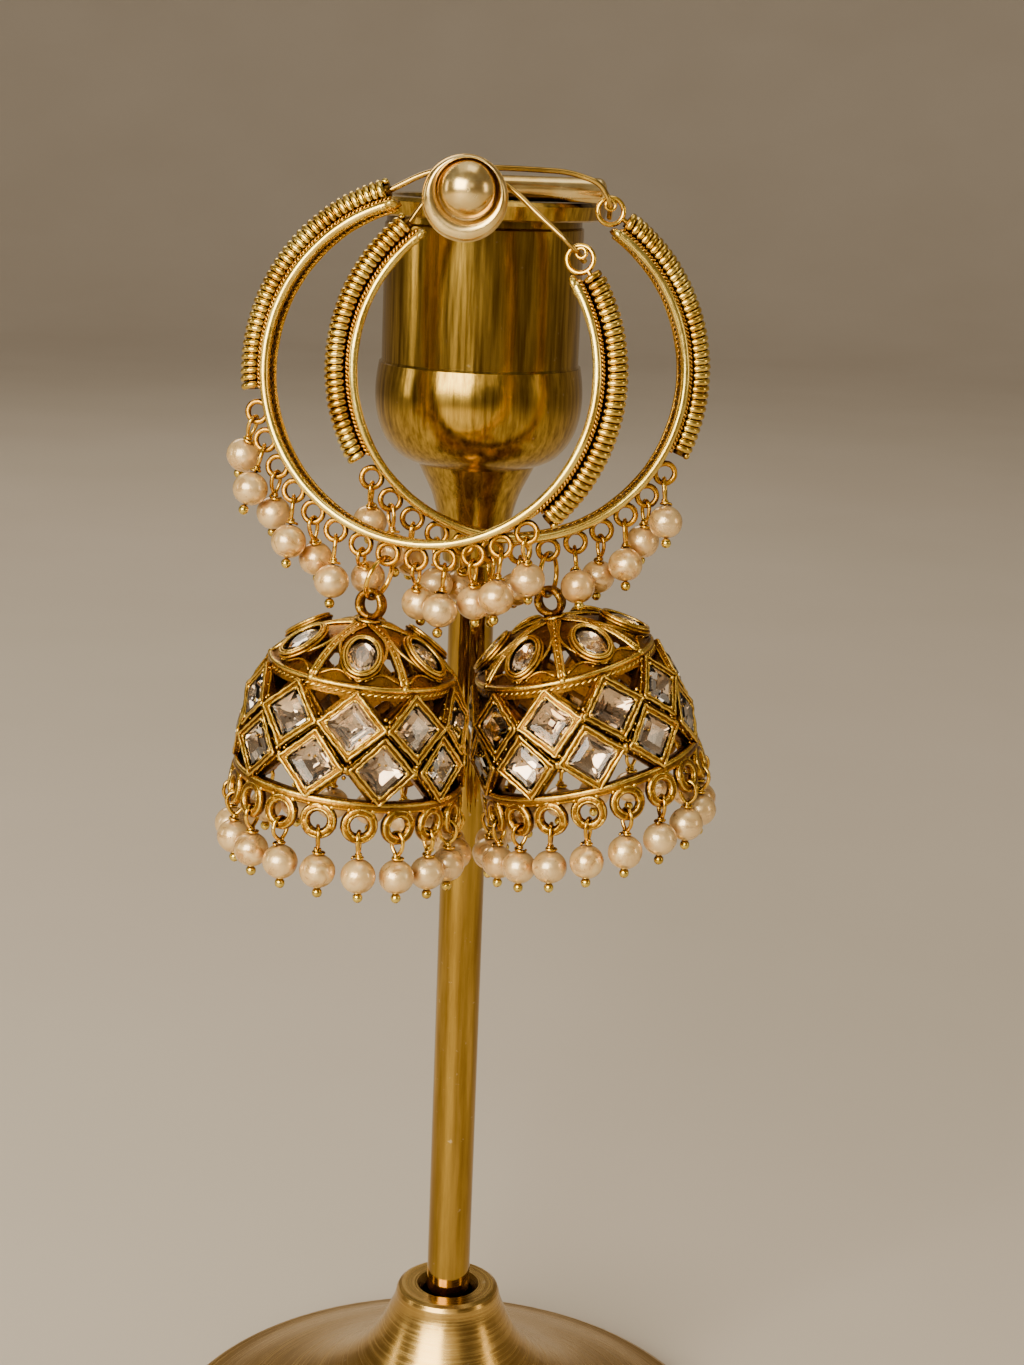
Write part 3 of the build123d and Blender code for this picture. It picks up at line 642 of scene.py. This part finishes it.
def make_hoop(e):
    s = hoop_start(e)
    t0, t1 = s, s + 360 - 2 * GAP_HALF
    forward = hoop_frame(e)[3]
    g = Mesh()
    n = 150
    # band: shallow channel between its edge wires
    prof = [(-0.30, -1.55), (-0.30, 1.55), (-0.02, 1.5), (0.16, 1.2), (0.24, 0.5), (0.24, -0.5), (0.16, -1.2), (-0.02, -1.5)]
    prof = [(-0.24, -1.55), (-0.30, -0.6), (-0.30, 0.6), (-0.24, 1.55), (0.24, 1.55), (0.10, 1.0), (0.10, -1.0), (0.24, -1.55)]
    verts, faces = [], []
    k = len(prof)
    for i, t in enumerate(np.linspace(t0, t1, n)):
        for r, w in prof:
            verts.append(hoop_point(e, t, HOOP_R + r, w))
        if i:
            for j in range(k):
                l = (j + 1) % k
                faces.append(((i - 1) * k + j, (i - 1) * k + l, i * k + l, i * k + j))
    faces.append(tuple(range(k)))
    faces.append(tuple((n - 1) * k + j for j in range(k))[::-1])
    g.add(verts, faces, 4, False)
    # front and back edges, rounded, slightly oval and polished
    for side in (1, -1):
        path = arc(e, t0, t1, HOOP_R, side * (HOOP_W / 2 - EDGE_R), n)
        wob = EDGE_R * (1 + 0.035 * np.sin(np.linspace(0, 60, n) + side) + 0.02 * np.sin(np.linspace(0, 173, n)))
        g.tube(path, wob, 12, mat=0)
    # twisted rope lines lying in the channel, inside and outside
    length = math.radians(t1 - t0) * HOOP_R
    for r_mid, w_mid, rr in ((HOOP_R - 0.33, 0.92, 0.15), (HOOP_R - 0.33, -0.92, 0.15), (HOOP_R + 0.28, 0.98, 0.17)):
        m = 420
        ts = np.linspace(t0 + 0.5, t1 - 0.5, m)
        turns = length / 1.15
        for strand in (0, math.pi):
            pts = []
            for i, t in enumerate(ts):
                radial, _, fw = frame_at(e, t)
                a = 2 * math.pi * turns * i / (m - 1) + strand
                base = hoop_point(e, t, r_mid, w_mid)
                pts.append(base + (radial * math.cos(a) + fw * math.sin(a)) * rr * 0.62)
            g.tube(pts, rr * 0.75, 5, mat=2)
    # leaf braid along the inside of the lower half
    mid_t = HOOPS[e][5]
    step = math.degrees(0.98 / HOOP_R)
    count = int(188 / step)
    for i in range(count):
        t = mid_t - 94 + i * step
        radial, along, fw = frame_at(e, t)
        for side in (1, -1):
            d = unit(along + fw * side * 0.75)
            c = hoop_point(e, t + (0 if side > 0 else step / 2), HOOP_R - 0.36, side * 0.34)
            ax = Plane(c, d, radial)
            g.ball(c, 1.0, 8, 6, 1, ax, (0.60, 0.19, 0.17))
    # cast eyelets
    for i in range(EYELETS):
        c = hoop_point(e, eyelet_theta(e, i), EYE_MID)
        g.ring(c, forward, EYE_R, EYE_WIRE * 1.0, 34, 9, 3, 0.05, i + (50 if e == "b" else 0))
        radial, along, fw = frame_at(e, eyelet_theta(e, i))
        root = hoop_point(e, eyelet_theta(e, i), HOOP_R + BAND_T / 2 + 0.12)
        g.ball(root, 1.0, 10, 6, 3, Plane(root, along, radial), (0.62, 0.42, 0.26), 0.12, i)
    # solder on the ends, run along the front edge
    for t, sgn in ((t0, 1), (t1, -1)):
        for q in range(7):
            tt = t + sgn * (q * 1.75 + 0.3)
            radial, along, fw = frame_at(e, tt)
            lump = 1 - q / 9
            c = hoop_point(e, tt, HOOP_R + 0.08 * math.sin(q * 2.1), 1.25 + 0.32 * math.cos(q * 2.7))
            g.ball(c, 1.0, 12, 8, 0, Plane(c, along, radial), (0.85 * lump, 0.78 * lump, 0.50), 0.28, q + (7 if sgn > 0 else 3))
        for q in range(3):
            tt = t + sgn * (q * 1.6 + 0.2)
            radial, along, fw = frame_at(e, tt)
            c = hoop_point(e, tt, HOOP_R + 0.05, -0.2 - 0.5 * q)
            g.ball(c, 1.0, 12, 8, 3, Plane(c, along, radial), (0.9, 0.8, 0.42), 0.25, q + 21)
    g.build(e + "_hoop_band", "stand", [gold_edge, gold_olive, gold_rope, gold_cast, gold_groove], "antique_gold", [e + "_hoop"])


def make_coils(e):
    s = hoop_start(e)
    end = s + 360 - 2 * GAP_HALF
    for side, t0, t1 in (("right", s, s + COIL_SPAN), ("left", end - COIL_SPAN, end)):
        g = Mesh()
        wire = 0.425
        mid = COIL_R - wire
        length = math.radians(COIL_SPAN) * COIL_MID
        turns = int(length / 0.84)
        seg = 20
        n = turns * seg
        edge = math.degrees(wire / COIL_MID)
        pts = []
        for i in range(n + 1):
            u = i / n
            t = t0 + edge + (COIL_SPAN - 2 * edge) * u
            radial, along, fw = frame_at(e, t)
            a = 2 * math.pi * i / seg + 0.4
            rr = mid * (1 + 0.010 * math.sin(i * 0.37) + 0.008 * math.sin(i * 0.083))
            lean = 0.10 * math.cos(a - 0.9) + 0.012 * math.sin(i * 0.05)
            pts.append(hoop_point(e, t, COIL_MID) + radial * math.cos(a) * rr + fw * math.sin(a) * rr + along * lean * (1 if 0.02 < u < 0.98 else 0))
        g.tube(pts, wire, 8, mat=0)
        g.tube(arc(e, t0 + 0.3, t1 - 0.3, COIL_MID, 0, 50), 0.72, 8, mat=1)
        # beaded wire pressed into the corner between the coil and the band
        beads = int(length / 0.52)
        for q in (1, -1):
            for i in range(beads):
                t = t0 + 0.6 + (COIL_SPAN - 1.2) * i / (beads - 1)
                radial, along, fw = frame_at(e, t)
                c = hoop_point(e, t, HOOP_R + 0.62, q * 1.42)
                g.ball(c, 1.0, 8, 6, 2, Plane(c, unit(along + radial * 0.75), fw), (0.42, 0.20, 0.30))
        g.build("%s_coil_%s_winding" % (e, side), "stand", [coil_mat, gold_olive, gold_rope], "antique_gold", ["%s_coil_%s" % (e, side)])


def pin_mesh(g, spot, kind, rng):
    loop_r, straight, wrap, carrier = DROPS[kind]
    top = carrier + LINK - (loop_r - PIN_R)
    low = top - straight
    eye = low - loop_r - PIN_R
    bead = top - straight - loop_r - PIN_R - wrap - PEARL_R + 0.1
    spread = rng.uniform(0.92, 1.12)
    skew = rng.uniform(-0.12, 0.12)
    # pear-shaped loop: round over the carrier, narrowing to the wrap
    pts = [(0, loop_r * math.cos(a), top + loop_r * math.sin(a)) for a in np.linspace(0, math.pi, 13)]
    foot = eye + 0.22
    for u in np.linspace(0.1, 1, 10):
        pts.append((0, -loop_r * (1 + (spread - 1) * math.sin(math.pi * u)) * (1 - u ** 2.6) - 0.05 + skew * math.sin(math.pi * u), top - (top - foot) * u))
    for u in np.linspace(1, 0.1, 10)[1:]:
        pts.append((0, loop_r * (1 + (spread - 1) * math.sin(math.pi * u)) * (1 - u ** 2.6) + 0.05 + skew * math.sin(math.pi * u), top - (top - foot) * u))
    g.tube(spot.points(pts), PIN_R * 1.22, 8, True, 0)
    # wrapped neck, and the wire's end turned out on the pearl
    tight = []
    start = rng.uniform(0, 6.28)
    for i in range(40):
        u = i / 39
        a = start + 2 * math.pi * 2.7 * u
        r = 0.26 + 0.05 * math.sin(i * 0.9) + 0.52 * max(0, (u - 0.58) / 0.42) ** 1.2
        tight.append((math.cos(a) * r, math.sin(a) * r, eye + 0.36 - 0.60 * u))
    g.tube(spot.points(tight), 0.17, 7, False, 0)
    # shank and ball end
    g.tube(spot.points([(0, 0, eye + 0.2), (0, 0, bead), (0, 0, bead - PEARL_R - 0.2)]), PIN_R, 7, False, 0)
    c = spot.at(0, 0, bead - PEARL_R - BALL_R + 0.08)
    g.ball(c, BALL_R, 16, 11, 1, spot, (1, 1, 1.02), 0.02, rng.randrange(999))
    return bead


def make_drops(e):
    rng = random.Random(5 if e == "a" else 6)
    for kind, body, tag in (("hoop", "stand", "hoop"), ("bell", e + "_drop", "bell")):
        g, p = Mesh(), Mesh()
        for i, spot in enumerate(drop_spots(e, kind)):
            bead = pin_mesh(g, spot, kind, rng)
            p.ball(spot.at(0, 0, bead), PEARL_R * rng.uniform(0.985, 1.0), 28, 20, 0, spot,
                   (1, rng.uniform(0.97, 1.0), rng.uniform(0.955, 0.985)), 0.012, i * 7 + 3)
        g.build("%s_%s_headpins" % (e, tag), body, [gold_wire, gold_ball], "gold_wire", ["%s_%s_pins" % (e, tag)])
        p.build("%s_%s_pearl_beads" % (e, tag), body, [pearl_mat], "pearl", ["%s_%s_pearls" % (e, tag)])


def cap_height(r):
    """Height of the cap's outer surface at radius r: the arc of the solid."""
    p1, p2, p3 = (CROWN_R, CROWN_Z), (CAP_MID_R, CROWN_Z - CAP_MID_DROP), (RIM_R + 0.1, RIM_Z + 0.25)
    (x1, y1), (x2, y2), (x3, y3) = p1, p2, p3
    d = 2 * (x1 * (y2 - y3) + x2 * (y3 - y1) + x3 * (y1 - y2))
    ux = ((x1**2 + y1**2) * (y2 - y3) + (x2**2 + y2**2) * (y3 - y1) + (x3**2 + y3**2) * (y1 - y2)) / d
    uy = ((x1**2 + y1**2) * (x3 - x2) + (x2**2 + y2**2) * (x1 - x3) + (x3**2 + y3**2) * (x2 - x1)) / d
    rad = math.hypot(x1 - ux, y1 - uy)
    return uy + math.sqrt(max(rad**2 - (r - ux) ** 2, 0))


def make_bell(e):
    fr = bell_frame(e)
    body = e + "_drop"
    petal_spin = BELLS[e][2]
    rng = random.Random(21 if e == "a" else 22)
    g = Mesh()
    # ---- collet frames: outer ridge, groove, inner lip and corner grains
    planes = [
        on_corner(face_plane(fr, (k + off) * 360 / COLLETS, r, z, slope))
        for z, r, slope, off in ROWS for k in range(COLLETS)
    ]
    for i, p in enumerate(planes):
        for half, h, wire, mat in (
            (COLLET / 2 - 0.13, PROUD + 0.04, 0.185, 1),
            (COLLET / 2 - WALL + 0.07, PROUD - 0.02, 0.145, 1),
            (COLLET / 2 - 0.02, PROUD - 0.62, 0.15, 0),
        ):
            c = 0.45
            corners = []
            for sx, sy in ((1, 1), (-1, 1), (-1, -1), (1, -1)):
                a, b = (sx * half, sy * (half - c)), (sx * (half - c), sy * half)
                for u in np.linspace(0, 1, 4):
                    q = (a[0] + (b[0] - a[0]) * u, a[1] + (b[1] - a[1]) * u)
                    s = 1 + 0.10 * math.sin(math.pi * u)
                    q = (q[0] * s, q[1] * s)
                    corners.append(q) if sx * sy > 0 else corners.append(None)
                if sx * sy < 0:
                    del corners[-4:]
                    for u in np.linspace(1, 0, 4):
                        q = (a[0] + (b[0] - a[0]) * u, a[1] + (b[1] - a[1]) * u)
                        s = 1 + 0.10 * math.sin(math.pi * u)
                        corners.append((q[0] * s, q[1] * s))
            path = []
            m = len(corners)
            for j in range(m):
                a, b = np.array(corners[j]), np.array(corners[(j + 1) % m])
                steps = 9 if np.linalg.norm(b - a) > 1 else 1
                for u in range(steps):
                    q = a + (b - a) * u / steps
                    path.append((q[0] + rng.uniform(-0.06, 0.06), q[1] + rng.uniform(-0.06, 0.06), h + rng.uniform(-0.07, 0.04)))
            radii = [wire * rng.uniform(0.68, 1.26) for _ in path]
            g.tube(p.points(path), radii, 8, True, mat)
        # grain clinging to the outside of the frame
        for sx, sy in ((1, 0), (-1, 0), (0, 1), (0, -1)):
            for q in range(5):
                u = rng.uniform(-0.44, 0.44) * COLLET
                w = COLLET / 2 + 0.02
                x, y = (sx * w, u) if sx else (u, sy * w)
                g.ball(p.at(x, y, PROUD - rng.uniform(0.25, 0.75)), rng.uniform(0.13, 0.21), 6, 5, q % 2, wrinkle=0.15, seed=q + i)
        # small grains holding the stone
        for sx, sy in ((1, 1), (-1, 1), (-1, -1), (1, -1)):
            q = COLLET / 2 - WALL - 0.12
            g.ball(p.at(sx * q, sy * q, PROUD + 0.02), 0.24, 8, 6, 1)
    g.build(e + "_bell_frames", body, [gold_cast, gold_ridge], "antique_gold")
    g = Mesh()
    # ---- cap: ribs between the petals, almond outlines, bezels and grains
    def dome(az, r, lift=0.12):
        return on_bell(fr, az, r, cap_height(r) + lift)
    for k in range(PETALS):
        az = petal_spin + 60 * k
        rib = az + 30
        for off, wire in ((-0.34, 0.24), (0.34, 0.24)):
            pts = [dome(rib + math.degrees(off / max(r, 1.6)), r, 0.10) for r in np.linspace(1.5, RIM_R, 22)]
            g.tube(pts, wire, 7, mat=1)
        pts = [dome(rib, r, 0.02) for r in np.linspace(1.5, RIM_R, 20)]
        g.tube(pts, 0.26, 6, mat=0)
        for j in range(11):
            r = 2.2 + j * 0.8
            g.ball(dome(rib, r, 0.22), 0.18, 8, 6, 1, wrinkle=0.1, seed=j)
        # petal outline from the crown, round the bezel, to the rim
        for side in (1, -1):
            pts = []
            for u in np.linspace(0, 1, 26):
                r = 1.6 + (RIM_R - 0.1 - 1.6) * u
                w = 2.75 * math.sin(math.pi * min(1, u ** 1.35)) ** 0.9 + 0.15 * (1 - u)
                pts.append(dome(az + side * math.degrees(w / r), r, 0.16))
            g.tube(pts, 0.2, 7, mat=1)
        # struts from the rim's middle to the rib feet
        for side in (1, -1):
            pts = []
            for u in np.linspace(0, 1, 10):
                a = az + side * (4 + 22 * u)
                r = RIM_R - 0.25 - 1.5 * math.sin(math.pi * u) * 0.5
                pts.append(dome(a, r, 0.08))
            g.tube(pts, 0.17, 6, mat=0)
        g.ball(on_bell(fr, rib, RIM_R + 0.12, RIM_Z + 0.12), 0.52, 12, 8, 1, wrinkle=0.05, seed=k)
        g.ball(on_bell(fr, az, RIM_R + 0.12, RIM_Z + 0.1), 0.36, 10, 8, 1)
        p = face_plane(fr, az, PETAL_R, PETAL_Z, PETAL_SLOPE)
        for grow, h, wire, mat in ((BEZEL_T * 0.75, BEZEL_PROUD - 0.08, 0.2, 1), (0.12, BEZEL_PROUD + 0.02, 0.15, 1), (BEZEL_T + 0.1, BEZEL_PROUD - 0.45, 0.17, 0)):
            pts = []
            for t in np.linspace(0, 2 * math.pi, 40, endpoint=False):
                x, y = (BEZEL_W + grow) * math.cos(t), (BEZEL_L + grow) * math.sin(t)
                pts.append((x, y, h))
            g.tube(p.points(pts), wire, 7, True, mat)
    # grains over the cap's plain places
    for k in range(PETALS * 2):
        for q in range(9):
            az = petal_spin + 30 * k + rng.uniform(-9, 9)
            r = rng.uniform(9.2, 10.5) if k % 2 == 0 else rng.uniform(2.0, 5.0)
            g.ball(dome(az, r, 0.05), rng.uniform(0.12, 0.22), 7, 5, q % 2, wrinkle=0.12, seed=q)
    # twisted wire under the rim
    for strand in (0, math.pi):
        pts = []
        for i in range(420):
            a = 2 * math.pi * i / 420
            tw = a * 44 + strand
            pts.append(on_bell(fr, math.degrees(a), RIM_R + 0.22 + 0.16 * math.cos(tw), RIM_Z - 0.62 + 0.16 * math.sin(tw)))
        g.tube(pts, 0.17, 5, True, 1)
    # crown
    g.ring(on_bell(fr, 0, 0, CROWN_Z + 0.42), fr.z, 1.15, 0.26, 26, 8, 1, 0.05, 3)
    g.ball(on_bell(fr, 0, 0, CROWN_Z + 0.2), 1.0, 16, 10, 0, fr, (1.35, 1.35, 0.55), 0.1, 9)
    # rim: two wires and a fine twist
    for dr, dz, wire, mat in ((0.18, 0.06, 0.34, 1), (0.05, -0.46, 0.24, 0)):
        g.ring(on_bell(fr, 0, 0, RIM_Z + dz), fr.z, RIM_R + dr, wire, 120, 8, mat, 0.04, 5)
    # lower band: wire over wire
    g.ring(on_bell(fr, 0, 0, BAND_Z + 0.33), fr.z, BAND_R + 0.1, 0.36, 130, 8, 1, 0.06, 6)
    g.ring(on_bell(fr, 0, 0, BAND_Z - 0.28), fr.z, BAND_R + 0.12, 0.33, 130, 8, 0, 0.07, 7)
    # grains where the collets meet
    for z, r, slope, off in ROWS:
        for k in range(COLLETS):
            az = (k + off + 0.5) * 360 / COLLETS
            g.ball(on_bell(fr, az, r + 0.30, z), 0.52, 10, 7, 1, wrinkle=0.2, seed=k)
            for q in range(7):
                a = 2 * math.pi * q / 7 + k
                dr = rng.uniform(0.5, 1.05)
                g.ball(on_bell(fr, az + math.degrees(math.cos(a) * dr * 0.65 / r), r + 0.22 - 0.02 * q, z + math.sin(a) * dr * 1.2),
                       rng.uniform(0.19, 0.32), 8, 6, q % 2, wrinkle=0.15, seed=q)
            # grains in the groove between the rows
            for q in range(6):
                u = (q + 0.5) / 6
                for side in (1, -1):
                    if z < -15:
                        continue
                    zz = -12.6 - 4.1 * u
                    aa = az + side * 18 * (1 - u) - (0 if side > 0 else 0)
                    g.ball(on_bell(fr, aa, 12.35 + 0.65 * u, zz - 0.25), rng.uniform(0.13, 0.2), 7, 5, q % 2)
    for k in range(COLLETS):
        az = (k + 0.5) * 36
        g.ball(on_bell(fr, az, BAND_R + 0.18, BAND_Z + 0.62), 0.34, 8, 6, 1)
    # cast eyelets with a raised inner lip
    for k in range(BELL_EYES):
        p = face_plane(fr, (k + 0.5) * 360 / BELL_EYES, BELL_EYE_AT, BELL_EYE_Z, BELL_EYE_SLOPE)
        g.ring(p.o, p.z, BELL_EYE_R, BELL_EYE_WIRE * 0.96, 44, 12, 0, 0.10, k + 11)
        g.ring(p.at(0, 0, 0.34), p.z, BELL_EYE_R + 0.30, 0.20, 44, 7, 1, 0.22, k + 31)
        g.ring(p.at(0, 0, 0.44), p.z, BELL_EYE_R - 0.22, 0.17, 40, 7, 1, 0.20, k + 71)
        g.ring(p.at(0, 0, -0.38), p.z, BELL_EYE_R - 0.12, 0.22, 28, 6, 1, 0.15, k + 51)
        for q in (-1, 1):
            g.ball(p.at(q * 1.35, 1.75, 0.1), 0.36, 9, 6, q > 0, wrinkle=0.2, seed=k)
    # bail: two splayed loops, worn bright, with painted shade darkening them where the ring passes close
    mid, normal, hang, hook, pivot = link_of(e)
    bail_n = np.cross(normal, hang)
    bail_n = unit(bail_n - fr.z * np.dot(bail_n, fr.z))
    bail_z = JUMP_WIRE + LINK + BAIL_WIRE - BAIL_R
    for splay in (-BAIL_SPLAY, BAIL_SPLAY):
        nn = turn(bail_n, fr.z, splay)
        g.ring(on_bell(fr, 0, 0, bail_z), nn, BAIL_R, BAIL_WIRE * 0.99, 40, 12, 1, 0.04, 4 if splay > 0 else 8)
    g.build(e + "_bell_ornament", body, [gold_cast, gold_ridge], "antique_gold")

    # ---- stones: faceted glass over a faceted foil back
    s, f = Mesh(), Mesh()
    side = COLLET - 2 * WALL - 0.12
    h = side / 2
    for i, p in enumerate(planes):
        corners = [(h, h), (-h, h), (-h, -h), (h, -h)]
        zt, zm, zg = 0.86, 0.50, -0.10
        dx, dy = rng.uniform(-0.10, 0.10), rng.uniform(-0.10, 0.10)
        v = []
        for z, size in ((zg - 0.14, 1.0), (zg + 0.10, 1.0), (zm, 0.84), (zt, 0.50)):
            off = 1 if size < 0.6 else 0
            v += [(x * size + dx * off, y * size + dy * off, z) for x, y in corners]
        fc = [(0, 3, 2, 1), (12, 13, 14, 15)]
        for q in range(3):
            for a in range(4):
                b = (a + 1) % 4
                fc.append((4 * q + a, 4 * q + b, 4 * q + 4 + b, 4 * q + 4 + a))
        s.add(p.points(v), fc, 0, False)
        # foil under it: four slopes and a small flat
        low = 0.16
        fv = [(x, y, zg - 0.20) for x, y in corners] + [(x * low + dx, y * low - dy, -1.30) for x, y in corners]
        ff = [(4, 5, 6, 7)] + [(a, (a + 1) % 4, 4 + (a + 1) % 4, 4 + a) for a in range(4)]
        f.add(p.points(fv), ff, 0, False)
    for k in range(PETALS):
        p = face_plane(fr, petal_spin + 60 * k, PETAL_R, PETAL_Z, PETAL_SLOPE)
        n = 12
        A, B = BEZEL_W - 0.06, BEZEL_L - 0.06
        v, fc = [], []
        for zz, sc, ph in ((0.10, 1.0, 0), (0.26, 1.0, 0), (0.62, 0.80, 0.5), (0.90, 0.50, 0)):
            for a in range(n):
                t = 2 * math.pi * (a + ph) / n
                v.append((A * sc * math.cos(t), B * sc * math.sin(t), zz))
        for a in range(n):
            b = (a + 1) % n
            fc.append((a, b, n + b, n + a))
            fc.append((n + a, n + b, 2 * n + a))
            fc.append((n + b, 2 * n + b, 2 * n + a))
            fc.append((2 * n + a, 3 * n + b, 3 * n + a))
            fc.append((2 * n + a, 2 * n + b, 3 * n + b))
        fc.append(tuple(3 * n + a for a in range(n)))
        fc.append(tuple(range(n))[::-1])
        s.add(p.points(v), fc, 0, False)
        fv = [(0, 0, -0.72)] + [(A * math.cos(2 * math.pi * a / n), B * math.sin(2 * math.pi * a / n), 0.06) for a in range(n)]
        fv += [(A * 0.5 * math.cos(2 * math.pi * (a + 0.5) / n), B * 0.5 * math.sin(2 * math.pi * (a + 0.5) / n), -0.40) for a in range(n)]
        ff = []
        for a in range(n):
            b = (a + 1) % n
            ff += [(1 + a, 1 + b, 1 + n + a), (1 + b, 1 + n + b, 1 + n + a), (0, 1 + n + a, 1 + n + b)]
        f.add(p.points(fv), ff, 0, False)
    s.build(e + "_crystals", body, [crystal_mat], "crystal", [e + "_bell_stones"])
    f.build(e + "_crystal_foils", body, [foil_mat], "crystal")


def make_peg():
    """Rounded rim between the flange's edge and the domed end."""
    g = Mesh()
    n, m = 96, 14
    verts = []
    for i in range(n):
        t = 2 * math.pi * i / n
        edge = np.array([-2.35 + 4.9 * math.cos(t), 177.38 + 4.9 * math.sin(t)])
        dome = np.array([-2.1 + 3.25 * math.cos(t), 178.38 + 3.25 * math.sin(t)])
        gap = np.linalg.norm(edge - dome)
        for j in range(m):
            u = j / (m - 1)
            h = 0.10 + 0.62 * min(1, gap) * max(0, math.sin(math.pi * min(1, max(0, (u - 0.12) / 0.88)))) ** 0.75
            if u > 0.97:
                h = -0.12
            x, z = dome + (edge - dome) * u
            verts.append((x, -24.40 - h, z))
    faces = []
    for i in range(n):
        k = (i + 1) % n
        for j in range(m - 1):
            faces.append((i * m + j, i * m + j + 1, k * m + j + 1, k * m + j))
    for i in range(n):
        k = (i + 1) % n
    g.add(verts, faces, 0)
    g.build("peg_rim", "stand", [peg_brass], "stand_brass")


def make_catch(e):
    """Curl of wire inside each catch loop."""
    g = Mesh()
    _, _, _, forward = hoop_frame(e)
    t = hoop_start(e) - math.degrees(2.1 / COIL_MID)
    radial, along, fw = frame_at(e, t)
    c = hoop_point(e, t, COIL_MID)
    pts = []
    for i in range(30):
        a = 2 * math.pi * 1.15 * i / 29
        r = 0.62 - 0.1 * i / 29
        pts.append(c + radial * (0.55 + r * math.cos(a)) + along * (-0.45 + r * math.sin(a)) + fw * (0.42 + 0.1 * i / 29))
    g.tube(pts, 0.2, 8, False, 0)
    g.build(e + "_catch_curl", "stand", [gold_wire], "gold_wire")


make_peg()
for e in "ab":
    make_catch(e)
    make_hoop(e)
    make_coils(e)
    make_drops(e)
    make_bell(e)

# ------------------------------------------------------------------ stage, light and camera
# plain round floor, swept up far away on every side
reach, bend, high, round_steps = 2.6, 1.0, 1.35, 128
prof = [(0.25, 0.0), (0.6, 0.0), (1.1, 0.0), (reach - bend, 0.0)]
prof += [(reach - bend + bend * math.sin(t), bend - bend * math.cos(t)) for t in np.linspace(0, math.pi / 2, 24)[1:]]
prof += [(reach, high)]
fv, ff = [(0.0, 0.0, 0.0)], []
for r, z in prof:
    fv += [(r * math.cos(a), r * math.sin(a), z) for a in np.linspace(0, 2 * math.pi, round_steps, endpoint=False)]
for a in range(round_steps):
    b = (a + 1) % round_steps
    ff.append((0, 1 + a, 1 + b))
    for i in range(len(prof) - 1):
        ff.append((1 + i * round_steps + a, 1 + (i + 1) * round_steps + a, 1 + (i + 1) * round_steps + b, 1 + i * round_steps + b))
floor_mesh = bpy.data.meshes.new("floor")
floor_mesh.from_pydata(fv, [], ff)
for p in floor_mesh.polygons:
    p.use_smooth = True
floor = bpy.data.objects.new("floor", floor_mesh)
bpy.context.scene.collection.objects.link(floor)
fm, fnt, fb = new_mat("floor", (0.60, 0.53, 0.44), 0.0, 0.55)
nv = noise(fnt, coords(fnt), 8, 3, 0.5)
fnt.links.new(ramp(fnt, nv, [(0.3, (0.59, 0.52, 0.43)), (0.7, (0.62, 0.55, 0.46))]), fb.inputs["Base Color"])
floor_mesh.materials.append(fm)

world = bpy.data.worlds.new("studio")
bpy.context.scene.world = world
world.use_nodes = True
wt = world.node_tree
bg = wt.nodes["Background"]
tc = wt.nodes.new("ShaderNodeTexCoord")
sep = wt.nodes.new("ShaderNodeSeparateXYZ")
wt.links.new(tc.outputs["Generated"], sep.inputs[0])
mr = wt.nodes.new("ShaderNodeMapRange")
mr.inputs["From Min"].default_value = -1
mr.inputs["From Max"].default_value = 1
wt.links.new(sep.outputs["Z"], mr.inputs["Value"])
wt.links.new(ramp(wt, mr.outputs["Result"], [(0.46, (0.10, 0.082, 0.062)), (0.60, (0.14, 0.118, 0.090)), (0.95, (0.24, 0.205, 0.160))]), bg.inputs["Color"])
bg.inputs["Strength"].default_value = 1.0


def area(name, at, aim, w, h, power, color, spread=180.0):
    d = bpy.data.lights.new(name, "AREA")
    d.shape = "RECTANGLE"
    d.size, d.size_y, d.energy, d.color, d.spread = w, h, power, color, math.radians(spread)
    o = bpy.data.objects.new(name, d)
    bpy.context.scene.collection.objects.link(o)
    o.location = at
    o.rotation_euler = (Vector(aim) - Vector(at)).to_track_quat("-Z", "Y").to_euler()
    return o


aim = (0, -0.015, 0.13)
area("window", (-0.38, -0.72, 0.44), aim, 0.60, 0.50, 14.0, (1.0, 0.93, 0.79))
area("front", (0.10, -1.45, 0.62), aim, 0.9, 0.45, 1.3, (1.0, 0.86, 0.66))
area("left", (-0.62, -0.05, 0.25), aim, 0.06, 0.28, 0.32, (1.0, 0.90, 0.70))
area("right", (0.64, -0.20, 0.26), aim, 0.10, 0.28, 0.45, (1.0, 0.84, 0.60))
area("back", (-0.35, 0.85, 0.75), aim, 0.6, 0.4, 2.4, (1.0, 0.90, 0.75))
area("top", (0.15, -0.05, 0.95), aim, 0.35, 0.35, 0.5, (1.0, 0.94, 0.84))
area("room", (0.0, 0.3, 2.4), (0, 0.5, 0), 2.2, 2.2, 9.0, (1.0, 0.90, 0.77))

# camera: looking 13.8 degrees down, turned 1.118 degrees to the right, rolled 2.263 degrees
cam = bpy.data.cameras.new("camera")
cam.sensor_fit = "HORIZONTAL"
cam.sensor_width = 36.0
cam.lens = 2280 * 36 / 1024
cam.clip_start, cam.clip_end = 0.01, 20
camera = bpy.data.objects.new("camera", cam)
bpy.context.scene.collection.objects.link(camera)
pitch, yaw, roll = (math.radians(a) for a in (13.8, 1.118, 2.263))
fwd = vec(math.sin(yaw) * math.cos(pitch), math.cos(yaw) * math.cos(pitch), -math.sin(pitch))
right = vec(math.cos(yaw), -math.sin(yaw), 0)
upv = np.cross(right, fwd)
c, s = math.cos(roll), math.sin(roll)
r2, u2 = c * right + s * upv, -s * right + c * upv
camera.matrix_world = Matrix((
    (r2[0], u2[0], -fwd[0], 0.0),
    (r2[1], u2[1], -fwd[1], -0.290),
    (r2[2], u2[2], -fwd[2], 0.186),
    (0, 0, 0, 1),
))
bpy.context.scene.camera = camera
